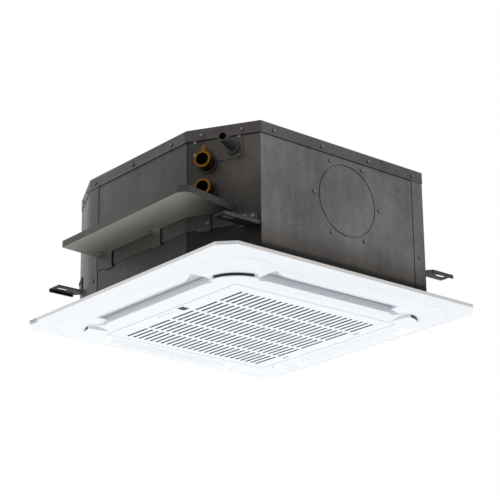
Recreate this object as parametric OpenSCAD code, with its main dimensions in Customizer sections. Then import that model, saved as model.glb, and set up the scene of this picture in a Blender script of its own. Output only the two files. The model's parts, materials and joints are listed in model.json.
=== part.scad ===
// Four-way ceiling cassette fan coil unit as it hangs: a sheet steel casing on four slotted
// brackets, closed from below by a moulded panel with four air flaps and a hinged grille.
// Lengths are in millimetres. The origin is the centre of the four rod slots, halfway
// through the bracket plates. +Z is up. The water pipes leave by the -X -Y corner.

/* [Casing] */
// Width of the square casing over the top cover's flange
casing_w = 575; // [565:1:590]
// Height of the casing
casing_h = 275; // [268:1:295]
// Thickness of the casing sheets
sheet_t = 1; // [0.8:0.1:1.2]
// Depth of the top cover's turned-down flange
cover_flange_h = 24; // [18:1:30]
// Pipe corner cut, measured along X
pipe_cut_x = 79; // [74:1:84]
// Pipe corner cut, measured along Y
pipe_cut_y = 133; // [126:1:140]
// Cut of the other three corners, measured along X
corner_cut_x = 55; // [50:1:60]
// Cut of the other three corners, measured along Y
corner_cut_y = 112; // [106:1:118]
// Lap of the corner panels over the side walls
corner_lap = 31; // [26:1:34]
// Lap of the pipe corner panel behind the side walls
pipe_lap = 20; // [14:1:24]
// Inward flange at the foot of a side wall
foot_flange = 7; // [5:0.5:7.5]
// Radius of the knock-out disc for a side air duct
knockout_r = 75; // [60:1:78]
// Width of the knock-out's cut line
knockout_cut = 1.2; // [0.8:0.1:2]

/* [Hangers] */
// Height of the bracket plates above the foot of the casing
hanger_h = 61; // [58:1:66]
// Thickness of a bracket
hanger_t = 3; // [2:0.5:4]
// Width of a bracket plate
hanger_w = 36; // [32:1:38]
// Distance between rod slots along X
rod_pitch_x = 566; // [562:1:576]
// Distance between rod slots along Y
rod_pitch_y = 555; // [553:1:560]
// Width of a rod slot
rod_slot_w = 11; // [9:0.5:13]
// Length of a rod slot, end to end
rod_slot_l = 30; // [24:1:34]
// Height of the bracket's flange on the corner panel
hanger_flange_h = 26; // [22:1:32]

/* [Panel] */
// How far the panel reaches past the casing on each side
panel_reach = 52.5; // [46:0.5:60]
// Corner cut of the panel
panel_cut = 30; // [20:1:40]
// Height of the panel's outer lip
lip_h = 7; // [5:0.5:9]
// Gap between the lip and the foot of the casing
panel_gap = 11; // [9:0.5:14]
// Drop of the outlets below the lip
outlet_drop = 16; // [14:0.5:18]
// Drop of the grille face below the lip
face_drop = 23; // [21.5:0.5:25]
// Wall of the moulded panel
wall_t = 3; // [2.6:0.1:3.2]
// Width of an air outlet
outlet_w = 38; // [37:0.5:40]
// Half length of an air outlet
outlet_half = 170; // [160:1:172]
// Width of the rail between an outlet and the grille
rail_w = 33.5; // [32:0.5:36]
// Corner radius of the raised centre of the panel
centre_r = 66; // [60:1:70]
// Height of the black slots at the corners
corner_slot_h = 6; // [4:0.5:6.5]

/* [Grille] */
// Seam round the grille
seam = 1.7; // [1.6:0.1:2.2]
// Thickness of the grille's face
face_t = 3; // [2.5:0.1:3.4]
// Height of the grille's rim
rim_h = 12; // [11:0.5:13]
// Number of slot columns along X
slot_columns = 25; // [15:1:25]
// Number of slot rows along Y
slot_rows = 5; // [3:1:5]
// Pitch of the slot columns
slot_pitch = 14.5; // [13:0.1:14.8]
// Width of a slot
slot_w = 5.6; // [4:0.1:7]
// Length of a slot
slot_l = 68; // [50:1:69]
// Web between two slot rows
slot_web = 9; // [8:0.5:12]
// Radius of the grille's pivot pins
pivot_r = 2; // [1.8:0.1:2.2]
// Travel of a grille latch
latch_travel = 5; // [4:0.5:6]

/* [Flaps] */
// Thickness of an air flap
flap_t = 2.5; // [2:0.1:2.8]
// Radius of a flap's pins
flap_pin_r = 2.5; // [2.2:0.1:2.8]
// Clearance between a flap and its outlet
flap_gap = 2; // [1.8:0.1:2.4]

/* [Fan] */
// Radius of the fan wheel
wheel_r = 145; // [138:1:150]
// Radius of the bell mouth's throat
throat_r = 98; // [92:1:100]
// Number of fan blades
blade_count = 7; // [5:1:9]
// Thickness of a fan blade
blade_t = 3; // [2:0.5:4]
// Radius of the motor
motor_r = 58; // [50:1:62]
// Height of the motor
motor_h = 53; // [45:1:58]
// Radius of the motor shaft
shaft_r = 6; // [5:0.5:7]

/* [Coil] */
// Thickness of the finned coil
coil_t = 36; // [34:1:37]
// Number of tube rows
tube_rows = 8; // [7:1:8]
// Radius of the coil's tubes
tube_r = 4.5; // [4:0.1:5]
// Radius of the header pipes
header_r = 9; // [8:0.5:10]
// Radius of the threaded bore in a water connection
water_bore_r = 12.1; // [9.5:0.1:12.5]
// Outer radius of a water connection
water_r = 17; // [16:0.1:17.5]
// Reach of a water connection past the casing
water_reach = 24; // [20:1:30]
// Height of the inlet connection over the rod slots
inlet_z = 82; // [80:1:84]
// Height of the outlet connection over the rod slots
outlet_z = 140; // [138:1:142]
// Outer radius of the drain spigot
spigot_r = 10; // [8:0.5:11]
// Reach of the drain spigot past the casing
spigot_reach = 55; // [45:1:65]

/* [Drain trays] */
// Height of the main drain pan
pan_h = 55; // [50:1:60]
// Reach of the outer drain tray from the casing
tray_reach = 93; // [80:1:110]
// Depth of the outer drain tray
tray_h = 14; // [10:0.5:18]
// Wall of the outer drain tray
tray_t = 2; // [1.5:0.1:2.5]
// Height of the outer drain tray's floor over the rod slots
tray_z = 33; // [30:1:36]

/* [Hidden] */
$fn = 48;

// Clearances and overruns
over = 2;
eps = 0.01;
run_gap = 0.05;
free_gap = 0.3;
hole_gap = 0.25;

// Casing levels and layers, counted inwards from the top cover's flange
half = casing_w / 2;
z_bot = -hanger_h;
z_top = casing_h - hanger_h;
layer_corner = sheet_t;
layer_wall = 2 * sheet_t;
layer_pipe = 3 * sheet_t;
layer_in = 4 * sheet_t;
pipe_face_l = sqrt(pipe_cut_x * pipe_cut_x + pipe_cut_y * pipe_cut_y);

// Liner, pan and coil
liner_t = 9;
board_t = 10;
board_hole_r = 76;
z_board = z_top - sheet_t - board_t;
pan_z0 = z_bot + sheet_t;
pan_z1 = pan_z0 + pan_h;
pan_floor = 15;
pan_wall = 7.5;
pan_rib = 8;
trough_gap = 2;
z_trough = pan_z0 + pan_floor;

// Outlets, grille and panel levels
outlet_edge = 4.5;
outlet_out = half - outlet_edge;
outlet_in = outlet_out - outlet_w;
grille_half = outlet_in - rail_w;
opening_half = grille_half + seam;
z_lip1 = z_bot - panel_gap;
z_lip0 = z_lip1 - lip_h;
z_out = z_lip0 - outlet_drop;
z_face = z_lip0 - face_drop;
gasket_t = 4;
z_duct = z_bot - gasket_t;
panel_half = half + panel_reach;
centre_half = outlet_in + outlet_w / 2;
duct_t = 2.5;
duct_relief = 3;
duct_lip = 2.5;
lip_run = 9;
border_r = 109;

// Coil ring
duct_step = 1;
duct_in = outlet_in - duct_step;
duct_out = half - layer_in - pan_wall;
coil_out = duct_in - pan_rib;
coil_in = coil_out - coil_t;
coil_r_out = 55;
coil_gap_x = 76;
coil_gap_y = 96;
coil_end_x = coil_gap_x - coil_out;
coil_end_y = coil_gap_y - coil_out;
end_plate_t = 1.5;
row_foot = 11;
row_z0 = z_trough + row_foot;
row_pitch = 29;
column_pitch = 18;

// Returns a corner's two points on an outline that lies d inside the casing's outside
function corner_points(sx, sy, cx, cy, d) =
    let (l = sqrt(cx * cx + cy * cy))
    [[sx * (half - d), sy * (half - cy - d * (l - cy) / cx)],
     [sx * (half - cx - d * (l - cx) / cy), sy * (half - d)]];

function outline(d) =
    let (a = corner_points(-1, -1, pipe_cut_x, pipe_cut_y, d),
         b = corner_points(1, -1, corner_cut_x, corner_cut_y, d),
         c = corner_points(1, 1, corner_cut_x, corner_cut_y, d),
         e = corner_points(-1, 1, corner_cut_x, corner_cut_y, d))
    [a[1], b[1], b[0], c[0], c[1], e[1], e[0], a[0]];

// X of a corner face at height y of its quadrant, d inside the casing's outside
function corner_x(cx, cy, d, y) =
    half - (cx * cy + d * sqrt(cx * cx + cy * cy) - cx * (half - y)) / cy;

function arc(cx, cy, r, a0, a1, steps) =
    [for (i = [0:steps]) let (a = a0 + (a1 - a0) * i / steps) [cx + r * cos(a), cy + r * sin(a)]];

module ring(d1, d2, z0, z1) {
    translate([0, 0, z0])
    linear_extrude(z1 - z0)
    difference() {
        polygon(outline(d1));
        polygon(outline(d2));
    }
}

module solid(d, z0, z1) {
    translate([0, 0, z0]) linear_extrude(z1 - z0) polygon(outline(d));
}

module box(x0, x1, y0, y1, z0, z1) {
    translate([x0, y0, z0]) cube([x1 - x0, y1 - y0, z1 - z0]);
}

module tube(r1, r0, h) {
    difference() {
        cylinder(r = r1, h = h);
        translate([0, 0, -over]) cylinder(r = r0, h = h + 2 * over);
    }
}

// Places children on a corner face: local x runs along the face, y up and z outwards
module on_corner(sx, sy, cx, cy, s, z) {
    translate([sx * (half - cx / 2), sy * (half - cy / 2), z])
    rotate([90, 0, atan2(sx * cy, -sy * cx)])
    translate([s, 0, 0])
    children();
}

module on_pipe_face(s, z) {
    on_corner(-1, -1, pipe_cut_x, pipe_cut_y, s, z) children();
}

// Repeats children on the four sides of the panel, drawn for the +X side
module on_side(k) {
    rotate([0, 0, 90 * k]) children();
}

module on_corners() {
    for (k = [0:3]) rotate([0, 0, 90 * k]) children();
}

// Screws in the casing sheets
screw_r = 1.9;
screw_head_r = 3.5;
screw_head_h = 2;
screw_z = z_top - 0.56 * cover_flange_h;
flange_y_shares = [-0.186, 0.042, 0.273];
flange_x_shares = [-0.304, -0.083, 0.136, 0.353];
lap_y = half - corner_cut_y - corner_lap / 2;
lap_x = half - corner_cut_x - corner_lap / 2;
lap_z = -14;
lap_front_z = 23;
knockout_x = 17.7;
knockout_z = 100;
knockout_screw_ring = 13;
corner_screw_shares = [-0.27, 0.27];
pipe_screw_shares = [-0.29, 0.25];
hanger_screw_in = 9;
hanger_screw_z = 18;
cover_screws = [[30.5, 148], [-59, 160], [-59, 186], [33, 186]];

module screw(length) {
    translate([0, 0, -length]) cylinder(r = screw_r, h = length);
    cylinder(r = screw_head_r, h = screw_head_h);
}

module screw_hole() {
    translate([0, 0, -layer_in - over])
    cylinder(r = screw_r + hole_gap, h = layer_in + 2 * over + hanger_t);
}

module on_x_faces(y, z, depth) {
    for (s = [-1, 1])
        translate([s * (half - depth), y, z]) rotate([0, s * 90, 0]) children();
}

module on_y_faces(x, z, depth) {
    for (s = [-1, 1])
        translate([x, s * (half - depth), z]) rotate([-s * 90, 0, 0]) children();
}

module flange_screw_places() {
    for (share = flange_y_shares) on_x_faces(share * casing_w, screw_z, 0) children();
    for (share = flange_x_shares) on_y_faces(share * casing_w, screw_z, 0) children();
    for (share = pipe_screw_shares)
        on_pipe_face(share * pipe_face_l, screw_z) children();
    for (side = [[1, -1], [1, 1], [-1, 1]])
        for (share = corner_screw_shares)
            on_corner(side[0], side[1], corner_cut_x, corner_cut_y, share * corner_cut_y, screw_z)
                children();
}

module lap_screw_places() {
    for (side = [[1, -1], [1, 1], [-1, 1]]) {
        translate([side[0] * (half - layer_corner), side[1] * lap_y, lap_z])
            rotate([0, side[0] * 90, 0]) children();
        translate([side[0] * lap_x, side[1] * (half - layer_corner), lap_front_z])
            rotate([-side[1] * 90, 0, 0]) children();
    }
}

module knockout_screw_places() {
    for (k = [0:5])
        translate([knockout_x, -half + layer_wall, knockout_z])
        rotate([90, 0, 0])
        rotate([0, 0, 60 * k])
        translate([knockout_r + knockout_screw_ring, 0, 0])
        children();
}

module cover_screw_places() {
    for (p = cover_screws)
        on_pipe_face(p[0], p[1]) translate([0, 0, -layer_wall]) children();
}

// Casing
module top_cover() {
    color("dimgray")
    difference() {
        union() {
            solid(0, z_top - sheet_t, z_top);
            ring(0, sheet_t, z_top - cover_flange_h, z_top);
            for (k = [0:3]) rotate([0, 0, 90 * k + 45]) cover_bead();
        }
        flange_screw_places() screw_hole();
        mount_places() translate([0, 0, z_top - sheet_t - over])
            cylinder(r = mount_bolt_r + hole_gap, h = sheet_t + 2 * over);
    }
}

// Pressed stiffening bead on the top cover
bead_h = 2;
bead_w = 16;
bead_in = 105;
bead_inset = 37.5;
bead_out = half - bead_inset;
module cover_bead() {
    box(bead_in, bead_out, -bead_w / 2, bead_w / 2, z_top - sheet_t, z_top + bead_h);
    for (x = [bead_in, bead_out])
        translate([x, 0, z_top - sheet_t]) cylinder(r = bead_w / 2, h = sheet_t + bead_h);
}

// A flat side wall with its foot flange; y0 and y1 bound its flat stretch
module wall_sheet(y0, y1) {
    x1 = half - layer_wall;
    box(x1 - sheet_t, x1, y0, y1, z_bot, z_top - sheet_t);
    box(x1 - foot_flange, x1, y0, y1, z_bot, z_bot + sheet_t);
}

wall_ends = outline(layer_wall);

module left_side_wall() {
    color("dimgray")
    difference() {
        mirror([1, 0, 0]) wall_sheet(wall_ends[7][1], wall_ends[6][1]);
        flange_screw_places() screw_hole();
        lap_screw_places() screw_hole();
    }
}

module right_side_wall() {
    color("dimgray")
    difference() {
        wall_sheet(wall_ends[2][1], wall_ends[3][1]);
        flange_screw_places() screw_hole();
        lap_screw_places() screw_hole();
    }
}

module rear_side_wall() {
    color("dimgray")
    difference() {
        rotate([0, 0, 90]) wall_sheet(-wall_ends[4][0], -wall_ends[5][0]);
        flange_screw_places() screw_hole();
        lap_screw_places() screw_hole();
    }
}

module front_side_wall() {
    color("dimgray")
    difference() {
        rotate([0, 0, -90]) wall_sheet(wall_ends[0][0], wall_ends[1][0]);
        flange_screw_places() screw_hole();
        lap_screw_places() screw_hole();
        knockout_screw_places() screw_hole();
        knockout_line();
    }
}

// Cut line of the knock-out, with four bridges that hold the disc
bridge_w = 7;
module knockout_line() {
    translate([knockout_x, -half, knockout_z])
    rotate([90, 0, 0])
    translate([0, 0, -layer_in - over])
    difference() {
        tube(knockout_r, knockout_r - knockout_cut, layer_in + over);
        for (a = [45, 135])
            rotate([0, 0, a])
            translate([-knockout_r - over, -bridge_w / 2, -over])
            cube([2 * knockout_r + 2 * over, bridge_w, layer_in + 3 * over]);
    }
}

// A corner panel: the part of a sheet ring round one corner, with its laps
module corner_sheet(sx, sy, cx, cy, lap, d, z0) {
    intersection() {
        ring(d, d + sheet_t, z0, z_top - sheet_t);
        translate([sx > 0 ? half - cx - lap : -half - over,
                   sy > 0 ? half - cy - lap : -half - over, z_bot - over])
            cube([cx + lap + over, cy + lap + over, casing_h + 2 * over]);
    }
}

module lapped_corner(sx, sy) {
    color("gray")
    difference() {
        corner_sheet(sx, sy, corner_cut_x, corner_cut_y, corner_lap, layer_corner, z_bot);
        flange_screw_places() screw_hole();
        lap_screw_places() screw_hole();
        hanger_screw_places(sx, sy) screw_hole();
    }
}

module front_right_corner_panel() { lapped_corner(1, -1); }
module rear_right_corner_panel() { lapped_corner(1, 1); }
module rear_left_corner_panel() { lapped_corner(-1, 1); }

module pipe_corner_panel() {
    color("dimgray")
    difference() {
        corner_sheet(-1, -1, pipe_cut_x, pipe_cut_y, pipe_lap, layer_pipe, z_bot + sheet_t);
        flange_screw_places() screw_hole();
        cover_screw_places() screw_hole();
        hanger_screw_places(-1, -1) screw_hole();
        tray_screw_places() screw_hole();
        for (z = [inlet_z, outlet_z])
            on_pipe_face(water_s, z) translate([0, 0, -layer_in - over])
                cylinder(r = grommet_sleeve_r + hole_gap, h = layer_in + 2 * over);
        on_pipe_face(spigot_s, spigot_z) translate([0, 0, -layer_in - over])
            cylinder(r = spigot_r + hole_gap, h = layer_in + 2 * over);
    }
}

// Plate over the pipe corner's upper opening, cut round the outlet connection
cover_x0 = -65;
cover_x1 = 40;
cover_z0 = 142;
cover_z1 = 188;
module pipe_cover_plate() {
    color("dimgray")
    difference() {
        on_pipe_face(0, 0)
            box(cover_x0, cover_x1, cover_z0, cover_z1, -layer_pipe, -layer_wall);
        on_pipe_face(water_s, outlet_z) translate([0, 0, -layer_in])
            cylinder(r = grommet_r + free_gap, h = layer_in);
        on_pipe_face(spigot_s, spigot_z) translate([0, 0, -layer_in])
            cylinder(r = spigot_r + hole_gap, h = layer_in);
        cover_screw_places() screw_hole();
    }
}

// Length of a screw that starts d inside the casing and ends short of the liner
function screw_in(d) = layer_in - d - 0.1 * sheet_t;

module casing_screws() {
    color("silver") {
        flange_screw_places() screw(screw_in(0));
        lap_screw_places() screw(screw_in(layer_corner));
        knockout_screw_places() screw(screw_in(layer_wall));
        cover_screw_places() screw(screw_in(layer_wall));
        tray_screw_places() translate([0, 0, tray_t + hook_t])
            screw(tray_t + hook_t + screw_in(layer_pipe));
        for (side = [[-1, -1], [1, -1], [1, 1], [-1, 1]])
            hanger_screw_places(side[0], side[1]) translate([0, 0, hanger_t])
                screw(hanger_t + screw_in(hanger_cut(side[0], side[1])[2]));
    }
}

// Hanger brackets
hanger_edge = 21;
hanger_x1 = rod_pitch_x / 2 + hanger_edge;
hanger_y0 = rod_pitch_y / 2 - hanger_w / 2;
hanger_y1 = rod_pitch_y / 2 + hanger_w / 2;
hanger_kink = 6;
hanger_kink_y = half - hanger_kink;
hanger_lip_h = 6;

function hanger_cut(sx, sy) = (sx < 0 && sy < 0)
    ? [pipe_cut_x, pipe_cut_y, layer_pipe] : [corner_cut_x, corner_cut_y, layer_corner];

// Places children on a bracket's flange: local z points outwards from the corner face
module on_hanger_flange(sx, sy) {
    c = hanger_cut(sx, sy);
    x = corner_x(c[0], c[1], c[2], hanger_y0);
    mirror([sx < 0 ? 1 : 0, 0, 0]) mirror([0, sy < 0 ? 1 : 0, 0])
        translate([x, hanger_y0, 0])
        rotate([0, 0, atan2(c[1], -c[0])])
        rotate([90, 0, 0])
        children();
}

module hanger_screw_places(sx, sy) {
    for (s = [0, 1])
        on_hanger_flange(sx, sy)
        translate([s * hanger_screw_step + hanger_screw_in - hanger_flange_back, hanger_screw_z, 0])
        children();
}

hanger_flange_back = 12;
hanger_flange_l = 34;
hanger_screw_step = 16;

module hanger(sx, sy) {
    c = hanger_cut(sx, sy);
    xi = corner_x(c[0], c[1], c[2], hanger_y0);
    xk = corner_x(c[0], c[1], c[2], hanger_kink_y);
    color("dimgray")
    difference() {
        union() {
            translate([0, 0, -hanger_t / 2])
            linear_extrude(hanger_t)
            scale([sx, sy])
            polygon([[hanger_x1, hanger_y0], [hanger_x1, hanger_y1], [xi, hanger_y1],
                [xk, hanger_kink_y], [xi, hanger_y0]]);
            on_hanger_flange(sx, sy)
                box(-hanger_flange_back, hanger_flange_l - hanger_flange_back, -hanger_t / 2,
                    hanger_flange_h, 0, hanger_t);
            scale([sx, sy, 1])
                box(xi, hanger_x1, hanger_y1 - hanger_t, hanger_y1, -hanger_lip_h, hanger_t / 2);
        }
        translate([sx * rod_pitch_x / 2, sy * rod_pitch_y / 2, -hanger_t]) rod_slot();
        hanger_screw_places(sx, sy) screw_hole();
    }
}

module rod_slot() {
    run = rod_slot_l / 2 - rod_slot_w / 2;
    for (s = [-1, 1]) translate([s * run, 0, 0]) cylinder(r = rod_slot_w / 2, h = 2 * hanger_t);
    box(-run, run, -rod_slot_w / 2, rod_slot_w / 2, 0, 2 * hanger_t);
}

module hanger_front_left() { hanger(-1, -1); }
module hanger_front_right() { hanger(1, -1); }
module hanger_rear_right() { hanger(1, 1); }
module hanger_rear_left() { hanger(-1, 1); }

// Foam liner: a wall inside the casing and a board under the top cover
module insulation_liner() {
    color("whitesmoke")
    difference() {
        solid(layer_in, pan_z1, z_top - sheet_t);
        translate([0, 0, pan_z1 - over])
            linear_extrude(z_board - pan_z1 + over) polygon(outline(layer_in + liner_t));
        translate([0, 0, z_board - over]) cylinder(r = board_hole_r, h = board_t + 2 * over);
        for (z = [inlet_z, outlet_z])
            on_pipe_face(water_s, z) translate([0, 0, -layer_in - liner_t - 2 * over])
                cylinder(r = water_r + liner_hole_gap, h = liner_t + 4 * over);
        on_pipe_face(spigot_s, spigot_z) translate([0, 0, -layer_in - liner_t - 2 * over])
            cylinder(r = spigot_r + liner_hole_gap, h = liner_t + 4 * over);
    }
}
liner_hole_gap = 3;

// Coil: a finned ring round the fan, open at the pipe corner
module round_square(r, corner) {
    square([2 * r, 2 * (r - corner)], center = true);
    square([2 * (r - corner), 2 * r], center = true);
    for (x = [-1, 1]) for (y = [-1, 1])
        translate([x * (r - corner), y * (r - corner)]) circle(r = corner);
}

module coil_plan(grow) {
    difference() {
        round_square(coil_out + grow, coil_r_out + grow);
        round_square(coil_in - grow, coil_r_out - coil_t - grow);
        translate([-half - over, -half - over])
            square([half + over + coil_end_x, half + over + coil_end_y]);
    }
}

module coil_fin_pack() {
    color("lightgray")
    translate([0, 0, z_trough]) linear_extrude(z_board - z_trough) coil_plan(0);
}

module coil_end_plates() {
    color("silver") {
        box(-coil_out, -coil_in, coil_end_y - end_plate_t, coil_end_y, z_trough, z_board);
        box(coil_end_x - end_plate_t, coil_end_x, -coil_out, -coil_in, z_trough, z_board);
    }
}

function row_z(i) = row_z0 + row_pitch * i;
bend_r = column_pitch / 2;
coil_mid = (coil_in + coil_out) / 2;

module return_bend(r) {
    rotate_extrude(angle = 180) translate([r, 0]) circle(r = tube_r);
}

module coil_return_bends() {
    color("peru") {
        for (i = [0:tube_rows - 1])
            translate([coil_end_x - end_plate_t, -coil_mid, row_z(i)])
            rotate([0, 0, 90])
            return_bend(bend_r);
        for (i = [0:2:tube_rows - 2])
            translate([header_x + column_pitch, coil_end_y - end_plate_t,
                       (row_z(i) + row_z(i + 1)) / 2])
            rotate([0, -90, 180])
            return_bend(row_pitch / 2);
    }
}

// Headers stand on the axis of the water connections
water_s = -35;
header_depth = 45;
stub_r = 11;
stub_bore_r = 8;
stub_depth = 22;
header_x = -(half - pipe_cut_x / 2) + (water_s * pipe_cut_x + header_depth * pipe_cut_y) / pipe_face_l;
header_y = -(half - pipe_cut_y / 2) + (-water_s * pipe_cut_y + header_depth * pipe_cut_x) / pipe_face_l;
lower_rows = 5;
header_end = 8;

module header(first, last, z) {
    z0 = row_z(first) - header_end;
    z1 = row_z(last) + header_end;
    difference() {
        union() {
            translate([header_x, header_y, z0]) cylinder(r = header_r, h = z1 - z0);
            for (i = [first:last])
                translate([header_x, header_y, row_z(i)]) rotate([-90, 0, 0])
                cylinder(r = tube_r, h = coil_end_y - end_plate_t - header_y);
            on_pipe_face(water_s, z) translate([0, 0, -header_depth])
                cylinder(r = stub_r, h = header_depth - stub_depth);
        }
        on_pipe_face(water_s, z) translate([0, 0, -header_depth])
            cylinder(r = stub_bore_r, h = header_depth);
    }
}

module coil_headers() {
    color("peru") {
        header(0, lower_rows - 1, inlet_z);
        header(lower_rows, tube_rows - 1, outlet_z);
    }
}

// Water connections
thread_depth = 18;
grommet_r = 21;
grommet_t = 2.5;
grommet_sleeve_r = 18.8;
grommet_fit = 0.2;
vent_out = 12;
vent_boss_r = 5.5;
vent_boss_h = 27;
vent_boss_y0 = 14;
vent_screw_r = 2;
vent_head_r = 4.2;
vent_head_h = 5;

module water_fitting() {
    difference() {
        translate([0, 0, -stub_depth]) cylinder(r = water_r, h = stub_depth + water_reach);
        translate([0, 0, water_reach - thread_depth])
            cylinder(r = water_bore_r, h = thread_depth + over);
        translate([0, 0, -stub_depth - over])
            cylinder(r = stub_bore_r, h = stub_depth + water_reach);
    }
}

module water_inlet_fitting() {
    color("goldenrod") on_pipe_face(water_s, inlet_z) water_fitting();
}

module water_outlet_fitting() {
    color("goldenrod")
    difference() {
        on_pipe_face(water_s, outlet_z) {
            water_fitting();
            translate([0, vent_boss_y0, vent_out]) rotate([-90, 0, 0])
                cylinder(r = vent_boss_r, h = vent_boss_h - vent_boss_y0);
        }
        on_pipe_face(water_s, outlet_z)
            translate([0, vent_boss_y0 - over, vent_out]) rotate([-90, 0, 0])
            cylinder(r = vent_screw_r + run_gap, h = vent_boss_h);
    }
}

module air_vent_screw() {
    color("gold")
    on_pipe_face(water_s, outlet_z)
    translate([0, 0, vent_out])
    rotate([-90, 0, 0]) {
        translate([0, 0, vent_boss_y0 + over])
            cylinder(r = vent_screw_r, h = vent_boss_h - vent_boss_y0 - over + free_gap);
        translate([0, 0, vent_boss_h + free_gap]) vent_head();
    }
}

// Slotted head of the vent screw
vent_slot_w = 1;
vent_slot_h = 1.5;
module vent_head() {
    difference() {
        cylinder(r = vent_head_r, h = vent_head_h);
        box(-vent_head_r, vent_head_r, -vent_slot_w / 2, vent_slot_w / 2,
            vent_head_h - vent_slot_h, vent_head_h + over);
    }
}

module pipe_grommets() {
    color("dimgray")
    for (z = [inlet_z, outlet_z])
        on_pipe_face(water_s, z) translate([0, 0, -layer_in])
        difference() {
            union() {
                cylinder(r = grommet_sleeve_r, h = sheet_t);
                translate([0, 0, sheet_t]) cylinder(r = grommet_r, h = grommet_t);
            }
            translate([0, 0, -over])
                cylinder(r = water_r + grommet_fit, h = sheet_t + grommet_t + 2 * over);
        }
}

// Drain spigot with its collar against the cover plate
spigot_s = 18.5;
spigot_z = 167;
spigot_bore_r = 7.5;
spigot_in = 18;
spigot_root_r = 9.5;
spigot_lead = 1;
collar_r = 15;
collar_t = 3;

module drain_spigot() {
    color("darkgray")
    on_pipe_face(spigot_s, spigot_z)
    difference() {
        union() {
            translate([0, 0, -spigot_in]) cylinder(r = spigot_root_r, h = spigot_in);
            translate([0, 0, -layer_wall]) cylinder(r = collar_r, h = collar_t);
            translate([0, 0, collar_t - layer_wall])
                cylinder(r = spigot_r, h = spigot_reach + layer_wall - collar_t - spigot_lead);
            translate([0, 0, spigot_reach - spigot_lead])
                cylinder(r1 = spigot_r, r2 = spigot_r - spigot_lead, h = spigot_lead);
        }
        translate([0, 0, -spigot_in - over])
            cylinder(r = spigot_bore_r, h = spigot_in + spigot_reach + 2 * over);
    }
}

// Condensate pump with its hose up to the spigot
pump_depth = 38;
pump_r = 24;
pump_top = 10;
pump_lip_r = 20;
pump_neck_r = 5.2;
pump_neck_h = 10;
hose_r = 8;
hose_bore_r = 5.5;
hose_bend_r = pump_depth - spigot_in;

module at_pump() {
    on_pipe_face(spigot_s, 0) translate([0, 0, -pump_depth]) rotate([-90, 0, 0]) children();
}

module condensate_pump() {
    color("dimgray") at_pump() {
        translate([0, 0, z_trough]) cylinder(r = pump_r, h = pump_top - z_trough - 2 * sheet_t);
        cylinder(r = pump_lip_r, h = pump_top);
        translate([0, 0, pump_top]) cylinder(r = pump_neck_r, h = pump_neck_h);
    }
}

module pump_hose() {
    color("gray") {
        at_pump() translate([0, 0, pump_top])
            tube(hose_r, hose_bore_r, spigot_z - hose_bend_r - pump_top);
        on_pipe_face(spigot_s, spigot_z) translate([0, -hose_bend_r, -spigot_in])
            rotate([0, 90, 0])
            rotate_extrude(angle = 90) translate([hose_bend_r, 0]) difference() {
                circle(r = hose_r);
                circle(r = hose_bore_r);
            }
    }
}

// Float switch
float_in_x = 46;
float_in_y = 56;
float_x = float_in_x - coil_out;
float_y = float_in_y - coil_out;
float_r = 9;
float_h = 14;
float_rise = 12;
float_stem_r = 3;
float_stop_r = 6;
float_stop_h = 3;
float_z = z_trough + 2 * float_stop_h;

module float_switch_stem() {
    color("black") translate([float_x, float_y, 0]) {
        translate([0, 0, z_trough]) cylinder(r = float_r, h = float_stop_h);
        translate([0, 0, z_trough]) cylinder(r = float_stop_r, h = 2 * float_stop_h);
        translate([0, 0, float_z]) cylinder(r = float_stem_r, h = float_h + float_rise + over);
        translate([0, 0, float_z + float_h + float_rise + eps])
            cylinder(r = float_stop_r, h = float_stop_h);
    }
}

module float_ring() {
    color("whitesmoke") translate([float_x, float_y, float_z])
        tube(float_r, float_stem_r + run_gap, float_h);
}

// Drain pan: a foam block with a trough under the coil, four air ducts and the fan opening
duct_inset = 15;
duct_half = outlet_half - duct_inset;
trough_wall = 8;
sump_over = 12;
pan_hole_r = 130;

module drain_pan() {
    color("whitesmoke")
    difference() {
        solid(layer_in, pan_z0, pan_z1);
        translate([0, 0, z_trough]) linear_extrude(pan_h) difference() {
            round_square(coil_out + trough_gap, coil_r_out + trough_gap);
            round_square(coil_in - trough_gap, coil_r_out - coil_t - trough_gap);
        }
        translate([0, 0, z_trough]) linear_extrude(pan_h) difference() {
            round_square(coil_in - trough_gap - trough_wall, coil_t);
            translate([-half, -half])
                square([half + coil_end_x + sump_over + trough_wall,
                        half + coil_end_y + sump_over + trough_wall]);
        }
        intersection() {
            solid(layer_in + pan_wall, z_trough, pan_z1 + over);
            box(-half, coil_end_x + sump_over, -half, coil_end_y + sump_over,
                z_trough, pan_z1 + over);
        }
        for (k = [0:3]) on_side(k)
            box(duct_in, duct_out, -duct_half, duct_half, pan_z0 - over, pan_z1 + over);
        translate([0, 0, pan_z0 - over]) cylinder(r = pan_hole_r, h = pan_floor + 2 * over);
        panel_screw_places() translate([0, 0, pan_z0 - over])
            cylinder(r = panel_screw_r + screw_fit, h = panel_screw_in + over + sheet_t);
    }
}

// Bell mouth: a plate with an elliptical inlet and a straight throat
bell_t = 2;
bell_inset = 18.2;
bell_half = opening_half - bell_inset;
bell_cut = 40;
bell_run = 30;
bell_rise = 35;
throat_top = 6;
bell_z = pan_z0 - bell_t;

function octagon(d, cut) = [[d, -(d - cut)], [d, d - cut], [d - cut, d], [-(d - cut), d],
    [-d, d - cut], [-d, -(d - cut)], [-(d - cut), -d], [d - cut, -d]];

function bell_curve(grow) = [for (i = [0:8]) let (a = 180 + 90 * i / 8)
    [throat_r + bell_run + (bell_run - grow) * cos(a),
     bell_z + bell_rise + (bell_rise - grow) * sin(a)]];

module bell_mouth() {
    color("dimgray") {
        translate([0, 0, bell_z]) linear_extrude(bell_t) difference() {
            polygon(octagon(bell_half, bell_cut));
            circle(r = throat_r + bell_run);
        }
        rotate_extrude() polygon(concat([[throat_r, throat_top]], bell_curve(0),
            [for (i = [8:-1:0]) bell_curve(bell_t)[i]], [[throat_r + bell_t, throat_top]]));
    }
}

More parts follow.
